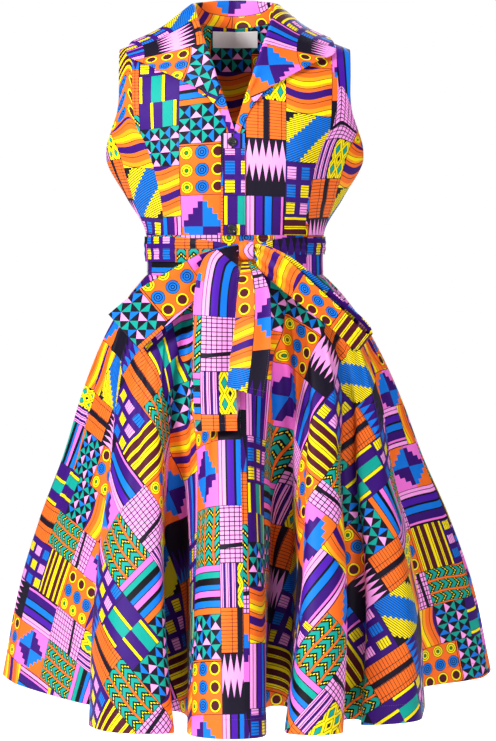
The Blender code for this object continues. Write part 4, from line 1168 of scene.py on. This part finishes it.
# Skirt: a full circle in four quarters. Hem folds from above: tip, roundness, out or in
skirt = {
    "hemFolds": (
        ("sideRight", -0.350, 0.040, 0.050, 1), ("dipRight", -0.192, -0.140, 0.022, -1),
        ("frontColumnRight", -0.153, -0.336, 0.071, 1), ("dipRightOfMiddle", -0.078, -0.172, 0.024, -1),
        ("frontColumnMiddle", -0.011, -0.372, 0.050, 1), ("deepDip", 0.056, -0.140, 0.018, -1),
        ("frontColumnLeft", 0.112, -0.360, 0.040, 1), ("shallowDipLeft", 0.150, -0.215, 0.022, -1),
        ("frontPanelLeft", 0.243, -0.238, 0.070, 1), ("dipLeft", 0.262, -0.050, 0.026, -1),
        ("sideLeft", 0.388, 0.070, 0.045, 1), ("dipBehindLeft", 0.262, 0.118, 0.026, -1),
        ("backColumnLeft", 0.280, 0.272, 0.048, 1), ("backDipLeft", 0.160, 0.178, 0.026, -1),
        ("backColumnInnerLeft", 0.128, 0.350, 0.044, 1), ("backDipMiddleLeft", 0.062, 0.186, 0.022, -1),
        ("backColumnMiddle", -0.004, 0.372, 0.046, 1), ("backDipMiddleRight", -0.070, 0.184, 0.022, -1),
        ("backColumnInnerRight", -0.138, 0.348, 0.044, 1), ("backDipRight", -0.166, 0.180, 0.026, -1),
        ("backColumnRight", -0.274, 0.262, 0.048, 1), ("dipBehindRight", -0.252, 0.112, 0.026, -1)),
    "seams": (("sideRight", -0.030, -90), ("frontColumnMiddle", 0.026, 0),
              ("sideLeft", -0.030, 90), ("backColumnMiddle", 0.0, 180)),
    "hemCentre": Vector((0.022, 0.000)), "hemRadii": (0.352, 0.268), "hemRise": 0.16, "hemZ": -0.932,
    "share": (0.00, 0.05, 0.15, 0.30, 0.45, 0.60, 0.80, 1.00),
    "spread": (0.00, 0.12, 0.29, 0.46, 0.59, 0.745, 0.905, 1.00),
    "fold": (0.00, 0.02, 0.09, 0.24, 0.42, 0.59, 0.81, 1.00),
    "columns": 170, "rows": 84, "rowPower": 1.12,
    "cutRadius": 0.115, "cutLength": 0.645,
    "hemDepth": 0.020, "hemStep": 0.35 * mm,
    "panels": (
        {"name": "skirtFrontRight", "shift": (0.100, 0.075),
         "creases": ((0.05, 0.010, 0.0030, 0.00, 0.50, 0.01), (0.12, 0.014, -0.0040, 0.02, 0.85, -0.01),
                     (0.21, 0.009, 0.0026, 0.00, 0.42, 0.02), (0.30, 0.016, -0.0036, 0.10, 0.95, 0.02),
                     (0.39, 0.010, 0.0030, 0.00, 0.60, -0.01), (0.50, 0.013, -0.0034, 0.00, 0.72, 0.01),
                     (0.60, 0.009, 0.0024, 0.02, 0.38, 0.00), (0.74, 0.026, -0.0080, 0.00, 0.62, -0.01),
                     (0.79, 0.010, 0.0030, 0.00, 0.55, 0.01), (0.90, 0.012, -0.0032, 0.00, 0.66, 0.00))},
        {"name": "skirtFrontLeft", "shift": (0.240, 0.185),
         "creases": ((0.06, 0.008, -0.0028, 0.00, 0.40, 0.00), (0.11, 0.007, 0.0024, 0.00, 0.26, 0.00),
                     (0.215, 0.034, -0.0120, 0.00, 0.66, 0.00), (0.29, 0.008, 0.0028, 0.00, 0.34, -0.01),
                     (0.36, 0.015, -0.0040, 0.04, 0.94, 0.02), (0.47, 0.011, 0.0030, 0.00, 0.58, 0.00),
                     (0.58, 0.016, -0.0038, 0.08, 0.92, -0.02), (0.70, 0.010, 0.0028, 0.00, 0.48, 0.01),
                     (0.82, 0.014, -0.0036, 0.02, 0.80, 0.00), (0.93, 0.009, 0.0026, 0.00, 0.44, 0.01))},
        {"name": "skirtBackLeft", "shift": (0.015, 0.300),
         "creases": ((0.07, 0.012, -0.0034, 0.00, 0.70, 0.01), (0.18, 0.009, 0.0028, 0.00, 0.46, -0.01),
                     (0.29, 0.015, -0.0040, 0.05, 0.92, 0.02), (0.41, 0.010, 0.0028, 0.00, 0.52, 0.00),
                     (0.53, 0.013, -0.0036, 0.00, 0.78, -0.02), (0.66, 0.010, 0.0030, 0.00, 0.40, 0.01),
                     (0.77, 0.015, -0.0038, 0.06, 0.96, 0.01), (0.90, 0.010, 0.0026, 0.00, 0.50, 0.00))},
        {"name": "skirtBackRight", "shift": (0.180, 0.035),
         "creases": ((0.08, 0.010, 0.0028, 0.00, 0.44, 0.00), (0.20, 0.014, -0.0038, 0.04, 0.88, -0.01),
                     (0.33, 0.010, 0.0028, 0.00, 0.56, 0.02), (0.45, 0.015, -0.0036, 0.00, 0.74, 0.01),
                     (0.57, 0.009, 0.0026, 0.00, 0.38, 0.00), (0.69, 0.014, -0.0040, 0.05, 0.94, -0.02),
                     (0.82, 0.010, 0.0030, 0.00, 0.50, 0.00), (0.93, 0.012, -0.0032, 0.00, 0.64, 0.01))},
    ),
    "gathers": 30, "gatherDepth": 1.3 * mm, "gatherFade": 0.11,
}


def hemPath():
    points, tips = [], {}
    for name, x, y, roundOff, way in skirt["hemFolds"]:
        tip = Vector((x, y))
        out = (tip - skirt["hemCentre"]).normalized() * way
        side = Vector((-out.y, out.x)) * way
        tips[name] = len(points) + 1
        for turn in (-60, 0, 60):
            angle = math.radians(turn)
            points.append(tip + side * roundOff * math.sin(angle) - out * roundOff * (1 - math.cos(angle)))
    perSpan = 30
    curve = smoothPath(points, perSpan, True)
    lengths = [0.0]
    for a, b in zip(curve, curve[1:] + curve[:1]):
        lengths.append(lengths[-1] + (b - a).length)
    return curve, lengths, {name: lengths[index * perSpan] for name, index in tips.items()}


hemCurve, hemLengths, hemTips = hemPath()


def hemAt(place):
    place %= hemLengths[-1]
    low, high = 0, len(hemCurve)
    while high - low > 1:
        middle = (low + high) // 2
        if hemLengths[middle] <= place:
            low = middle
        else:
            high = middle
    share = (place - hemLengths[low]) / max(hemLengths[low + 1] - hemLengths[low], 1e-9)
    return hemCurve[low].lerp(hemCurve[(low + 1) % len(hemCurve)], share)


def quarterOf(index):
    first, second = skirt["seams"][index % 4], skirt["seams"][(index + 1) % 4]
    start, end = hemTips[first[0]] + first[1], hemTips[second[0]] + second[1]
    if end < start:
        end += hemLengths[-1]
    turn = second[2] - first[2]
    if turn < 0:
        turn += 360
    return start, end, math.radians(first[2]), math.radians(turn)


quarters = [quarterOf(index) for index in range(4)]


def skirtPoint(index, around, share, spread, fold):
    start, end, firstAngle, turn = quarters[index]
    if around < 0:
        before = quarters[index - 1]
        inside = 1 + around * (end - start) / (before[1] - before[0])
        return skirtPoint((index - 1) % 4, inside, share, spread, fold)
    if around > 1:
        after = quarters[(index + 1) % 4]
        inside = (around - 1) * (end - start) / (after[1] - after[0])
        return skirtPoint((index + 1) % 4, inside, share, spread, fold)
    angle = firstAngle + turn * around
    hem = hemAt(mix(start, end, around))
    top = figure["beltBottom"] - seamGap / 2
    waist = waistPoint(angle, top)
    wide, deep = skirt["hemRadii"]
    mean = skirt["hemCentre"] + Vector((wide * math.sin(angle), -deep * math.cos(angle)))
    flat = Vector((waist.x, waist.y)).lerp(mean, spread) + (hem - mean) * fold
    standsOut = max(0.0, (hem - mean).dot((hem - skirt["hemCentre"]).normalized()))
    return Vector((flat.x, flat.y, mix(top, skirt["hemZ"] + skirt["hemRise"] * standsOut, share)))


def foldLift(panel, around, share):
    lift = 0.0
    for place, halfWidth, depth, first, last, lean in panel["creases"]:
        if not first <= share <= last:
            continue
        along = (share - first) / (last - first)
        away = (around - place - lean * (share - first)) / halfWidth
        if abs(away) < 3:
            lift += depth * math.sin(math.pi * along ** 0.8) * math.exp(-away * away)
    fade = max(0.0, 1 - share / skirt["gatherFade"])
    uneven = 0.6 + 0.4 * math.sin(around * 23 + 1.3)
    edge = clamp(min(around, 1 - around) / 0.02)
    lift += skirt["gatherDepth"] * fade * fade * clamp(share / 0.01) * uneven * math.sin(
        2 * math.pi * skirt["gathers"] * around + 1.5 * math.sin(around * 9))
    if share > 1 - skirt["hemDepth"] / skirt["cutLength"]:
        lift += skirt["hemStep"]
    return lift * edge


def makeSkirt():
    rows = [(k / skirt["rows"]) ** skirt["rowPower"] for k in range(skirt["rows"] + 1)]
    for index, panel in enumerate(skirt["panels"]):
        start, end, turn = (quarters[index][k] for k in (0, 1, 3))
        trimHem, trimWaist = seamGap / 2 / (end - start), seamGap / 2 / (turn * figure["waistRadius"])
        grid, places = [], []
        for share in rows:
            spread = valueAt(skirt["share"], skirt["spread"], share)
            fold = valueAt(skirt["share"], skirt["fold"], share)
            trim = mix(trimWaist, trimHem, share ** 0.5)
            radius = skirt["cutRadius"] + share * skirt["cutLength"]
            line, place = [], []
            for i in range(-1, skirt["columns"] + 2):
                around = mix(trim, 1 - trim, i / skirt["columns"])
                line.append(skirtPoint(index, around, share, spread, fold))
                bend = math.radians((around - 1 if index % 2 == 0 else around) * 90)
                place.append((radius * math.sin(bend), -radius * math.cos(bend)))
            grid.append(line)
            places.append(place)
        normals = gridNormals(grid)
        middle = len(grid) // 2
        ahead = skirtPoint(index, 0.52, 0.5, 0.63, 0.48) - skirtPoint(index, 0.5, 0.5, 0.63, 0.48)
        out = ahead.cross(Vector((0, 0, 1)))
        sign = 1 if normals[middle][len(grid[0]) // 2].dot(out) > 0 else -1
        for j, share in enumerate(rows):
            for i in range(len(grid[j])):
                around = clamp((i - 1) / skirt["columns"])
                grid[j][i] = grid[j][i] + normals[j][i] * sign * foldLift(panel, around, share)
        outward = normals[middle][len(grid[0]) // 2] * sign
        sew(panel["name"], grid, turned(places, 0, panel["shift"]), "cotton", outward, (0, 0, 1, 1))
        print("sewn", panel["name"])


makeBodice()
makeCollar()
makeLapels()
makePlacket()
for buttonName, height in button["heights"].items():
    makeButton(buttonName, height)
makeLabel()
print("bodice, collar and placket made")
makeWaistband()
makeSashRoundWaist()
makeKnot()
makeLoop("sashLoopRight", sash["loopRight"])
makeLoop("sashLoopLeft", sash["loopLeft"])
makeTail("sashTailRight", sash["tailRight"])
makeTail("sashTailLeft", sash["tailLeft"])
print("waistband and sash made")
makeSkirt()
print("skirt made")


# Topstitching: short thread stitches along a path on the cloth
stitching = {"spacing": 3.2 * mm, "length": 2.2 * mm, "radius": 0.28 * mm, "lift": 0.15 * mm}


def stitchTree():
    tree, given, end = newTree(
        "GeometryNodeTree", "topstitching",
        [("Geometry", "Geometry"), ("Stitch Spacing", "Float"), ("Stitch Length", "Float"),
         ("Thread Radius", "Float"), ("Thread", "Material")],
        [("Geometry", "Geometry")])
    curve = addNode(tree, "GeometryNodeMeshToCurve", {"Mesh": given["Geometry"]}).outputs[0]
    spots = addNode(tree, "GeometryNodeCurveToPoints", {"Curve": curve, "Length": given["Stitch Spacing"]},
                    mode="LENGTH").outputs
    ball = addNode(tree, "GeometryNodeMeshIcoSphere", {"Radius": 1.0, "Subdivisions": 1}).outputs["Mesh"]
    radius, half = given["Thread Radius"], Reading(given["Stitch Length"]) * 0.5
    size = addNode(tree, "ShaderNodeCombineXYZ", {0: radius, 1: radius, 2: half}).outputs[0]
    balls = addNode(tree, "GeometryNodeInstanceOnPoints", {
        "Points": spots["Points"], "Rotation": spots["Rotation"], "Instance": ball, "Scale": size})
    real = addNode(tree, "GeometryNodeRealizeInstances", {"Geometry": balls.outputs["Instances"]}).outputs[0]
    dyed = addNode(tree, "GeometryNodeSetMaterial", {"Geometry": real, "Material": given["Thread"]})
    feed(end.inputs["Geometry"], dyed.outputs[0])
    return tree


stitchGroup = stitchTree()


def gridPath(name, row=None, column=None):
    piece = sewn[name]
    grid, normals, spare = piece["grid"], piece["normals"], piece["spare"]
    if row is not None:
        cells = [(row, i) for i in range(spare[2], len(grid[0]) - spare[3])]
    else:
        cells = [(j, column) for j in range(spare[0], len(grid) - spare[1])]
    return [grid[j][i] + normals[j][i] * stitching["lift"] for j, i in cells]


def sewStitches(name, paths):
    points, edges = [], []
    for path in paths:
        edges += [(len(points) + k, len(points) + k + 1) for k in range(len(path) - 1)]
        points += path
    mesh = bpy.data.meshes.new(name)
    mesh.from_pydata(points, edges, [])
    guide = addObject(name + "Guide", mesh)
    modifier = guide.modifiers.new("stitches", "NODES")
    modifier.node_group = stitchGroup
    values = {"Stitch Spacing": stitching["spacing"], "Stitch Length": stitching["length"],
              "Thread Radius": stitching["radius"], "Thread": threadMaterial}
    for item in stitchGroup.interface.items_tree:
        if item.in_out == "INPUT" and item.name in values:
            modifier[item.identifier] = values[item.name]
    ready = guide.evaluated_get(bpy.context.evaluated_depsgraph_get())
    thread = bpy.data.meshes.new_from_object(ready)
    thread.polygons.foreach_set("use_smooth", [True] * len(thread.polygons))
    addObject(name, thread)
    bpy.data.objects.remove(guide, do_unlink=True)


waistPieces = [stretch[0] for stretch in waistband["stretches"]]
tails = ("sashTailRight", "sashTailLeft")
stitchRuns = {
    "collarStitches": [("turnedCollar", None, -3)],
    "placketStitches": [("frontPlacket", None, 1), ("frontPlacket", None, -2)],
    "frontStitches": [("frontRight", None, 2), ("frontLeft", None, 2)],
    "armholeStitches": [("sideFrontRight", None, -4), ("sideFrontLeft", None, -4),
                        ("backBodice", None, 4), ("backBodice", None, -5)],
    "waistbandStitches": [(name, row, None) for row in (-2, 1) for name in waistPieces],
    "sashStitches": [(name, None, column) for name in tails for column in (1, -2)]
                    + [(name, -3, None) for name in tails],
    "hemStitches": [(panel["name"], -4, None) for panel in skirt["panels"]],
}
for runName, runs in stitchRuns.items():
    sewStitches(runName, [gridPath(piece, row, column) for piece, row, column in runs])
print("topstitching done")

# What each piece stands for, and the size of cloth that it was cut from
otherNodes = {"turnedCollar": "collar", "frontPlacket": "placket"}
cutSizes = (
    (("frontRight", "frontLeft"), (0.160, 0.345), 0.0400, "hung"),
    (("sideFrontRight", "sideFrontLeft"), (0.110, 0.290), 0.0210, "hung"),
    (("backBodice",), (0.500, 0.330), 0.1300, "hung"),
    (("turnedCollar",), (0.620, 0.160), 0.0700, "folded"),
    (("lapelRight", "lapelLeft"), (0.036, 0.110), 0.0020, "folded"),
    (("frontPlacket",), (0.034, 0.150), None, "hung"),
    (("neckLabel",), (0.072, 0.026), None, "hung"),
    (("waistbandFrontRight", "waistbandFrontLeft"), (0.190, 0.057), None, "hung"),
    (("waistbandBack",), (0.340, 0.057), None, "hung"),
    (("sashRoundWaist",), (0.700, 0.034), None, "folded"),
    (("sashKnot",), (0.020, 0.090), None, "folded"),
    (("sashLoopRight",), (0.066, 0.335), None, "folded"),
    (("sashLoopLeft",), (0.056, 0.350), None, "folded"),
    (("sashTailRight",), (0.060, 0.270), None, "hung"),
    (("sashTailLeft",), (0.058, 0.200), None, "hung"),
    ([panel["name"] for panel in skirt["panels"]], (1.075, 0.760), 0.4400, "gathered"),
)


def declare(name, slot, hasNode=True):
    piece = bpy.data.objects[name]
    if hasNode:
        snake = "".join("_" + letter.lower() if letter.isupper() else letter for letter in name)
        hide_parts(otherNodes.get(name, snake))
    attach(piece, "root")
    return piece


for names, flat, area, held in cutSizes:
    for name in names:
        piece = declare(name, clothKinds[sewn[name]["kind"]]["slot"])
        measured = sum(face.area for face in piece.data.polygons) / 2
        print(name, "area", round(measured, 4), "flat", area or flat[0] * flat[1])
for name in button["heights"]:
    declare(name, "button")
for name in stitchRuns:
    declare(name, "print", hasNode=False)


# Open floor and soft light
studio = {"floor": -1.400, "reach": 3.4, "corners": 24, "white": (0.90, 0.90, 0.91),
          "glow": {"From Min": 1.2, "From Max": 3.3, "To Min": 0.42, "To Max": 1.0},
          "seen": 1.0, "world": 0.07, "daylight": (1.0, 1.0, 1.0, 1.0), "aim": Vector((0, 0, -0.45)),
          "lamps": (("keyLamp", (-1.9, -2.2, 0.9), 0.8, 136.0), ("fillLamp", (1.7, -2.5, 0.3), 0.9, 34.0),
                    ("topLamp", (0.1, -0.5, 2.2), 1.2, 30.0), ("backLamp", (0.7, 2.4, 1.0), 1.4, 46.0))}


def makeFloor():
    # Its glow grows outwards, so that the rim melts into the backdrop
    corners = studio["corners"]
    angles = [2 * math.pi * k / corners for k in range(corners)]
    rim = [(studio["reach"] * math.cos(a), studio["reach"] * math.sin(a), studio["floor"]) for a in angles]
    paper = plainMaterial("whitePaper", studio["white"], 0.9, 0.4, 0.0005)
    tree = paper.node_tree
    place = addNode(tree, "ShaderNodeTexCoord").outputs["Object"]
    away = addNode(tree, "ShaderNodeVectorMath", {0: place}, operation="LENGTH").outputs["Value"]
    fade = addNode(tree, "ShaderNodeMapRange", {"Value": away, **studio["glow"]}).outputs["Result"]
    feedAll(tree.nodes["Principled BSDF"], {"Emission Color": fade, "Emission Strength": 1.0})
    addMesh("paleFloor", rim, [tuple(range(corners))], paper)


def makeStudio():
    makeFloor()
    for name, place, size, power in studio["lamps"]:
        lamp = bpy.data.lights.new(name, "AREA")
        lamp.size = size
        lamp.energy = power
        obj = addObject(name, lamp)
        obj.location = place
        obj.rotation_euler = (studio["aim"] - Vector(place)).to_track_quat("-Z", "Y").to_euler()
    world = bpy.data.worlds.new("paleRoom")
    world.use_nodes = True
    tree = world.node_tree
    light = tree.nodes["Background"]
    feedAll(light, {"Color": studio["daylight"], "Strength": studio["world"]})
    backdrop = addNode(tree, "ShaderNodeBackground",
                       {"Color": studio["daylight"], "Strength": studio["seen"]})
    seen = addNode(tree, "ShaderNodeLightPath").outputs["Is Camera Ray"]
    choose = addNode(tree, "ShaderNodeMixShader", {0: seen, 1: light.outputs[0], 2: backdrop.outputs[0]})
    feed(tree.nodes["World Output"].inputs["Surface"], choose.outputs[0])
    bpy.context.scene.world = world
    bpy.context.scene.view_settings.view_transform = "Standard"  # print colours as dyed


makeStudio()
print("studio ready")
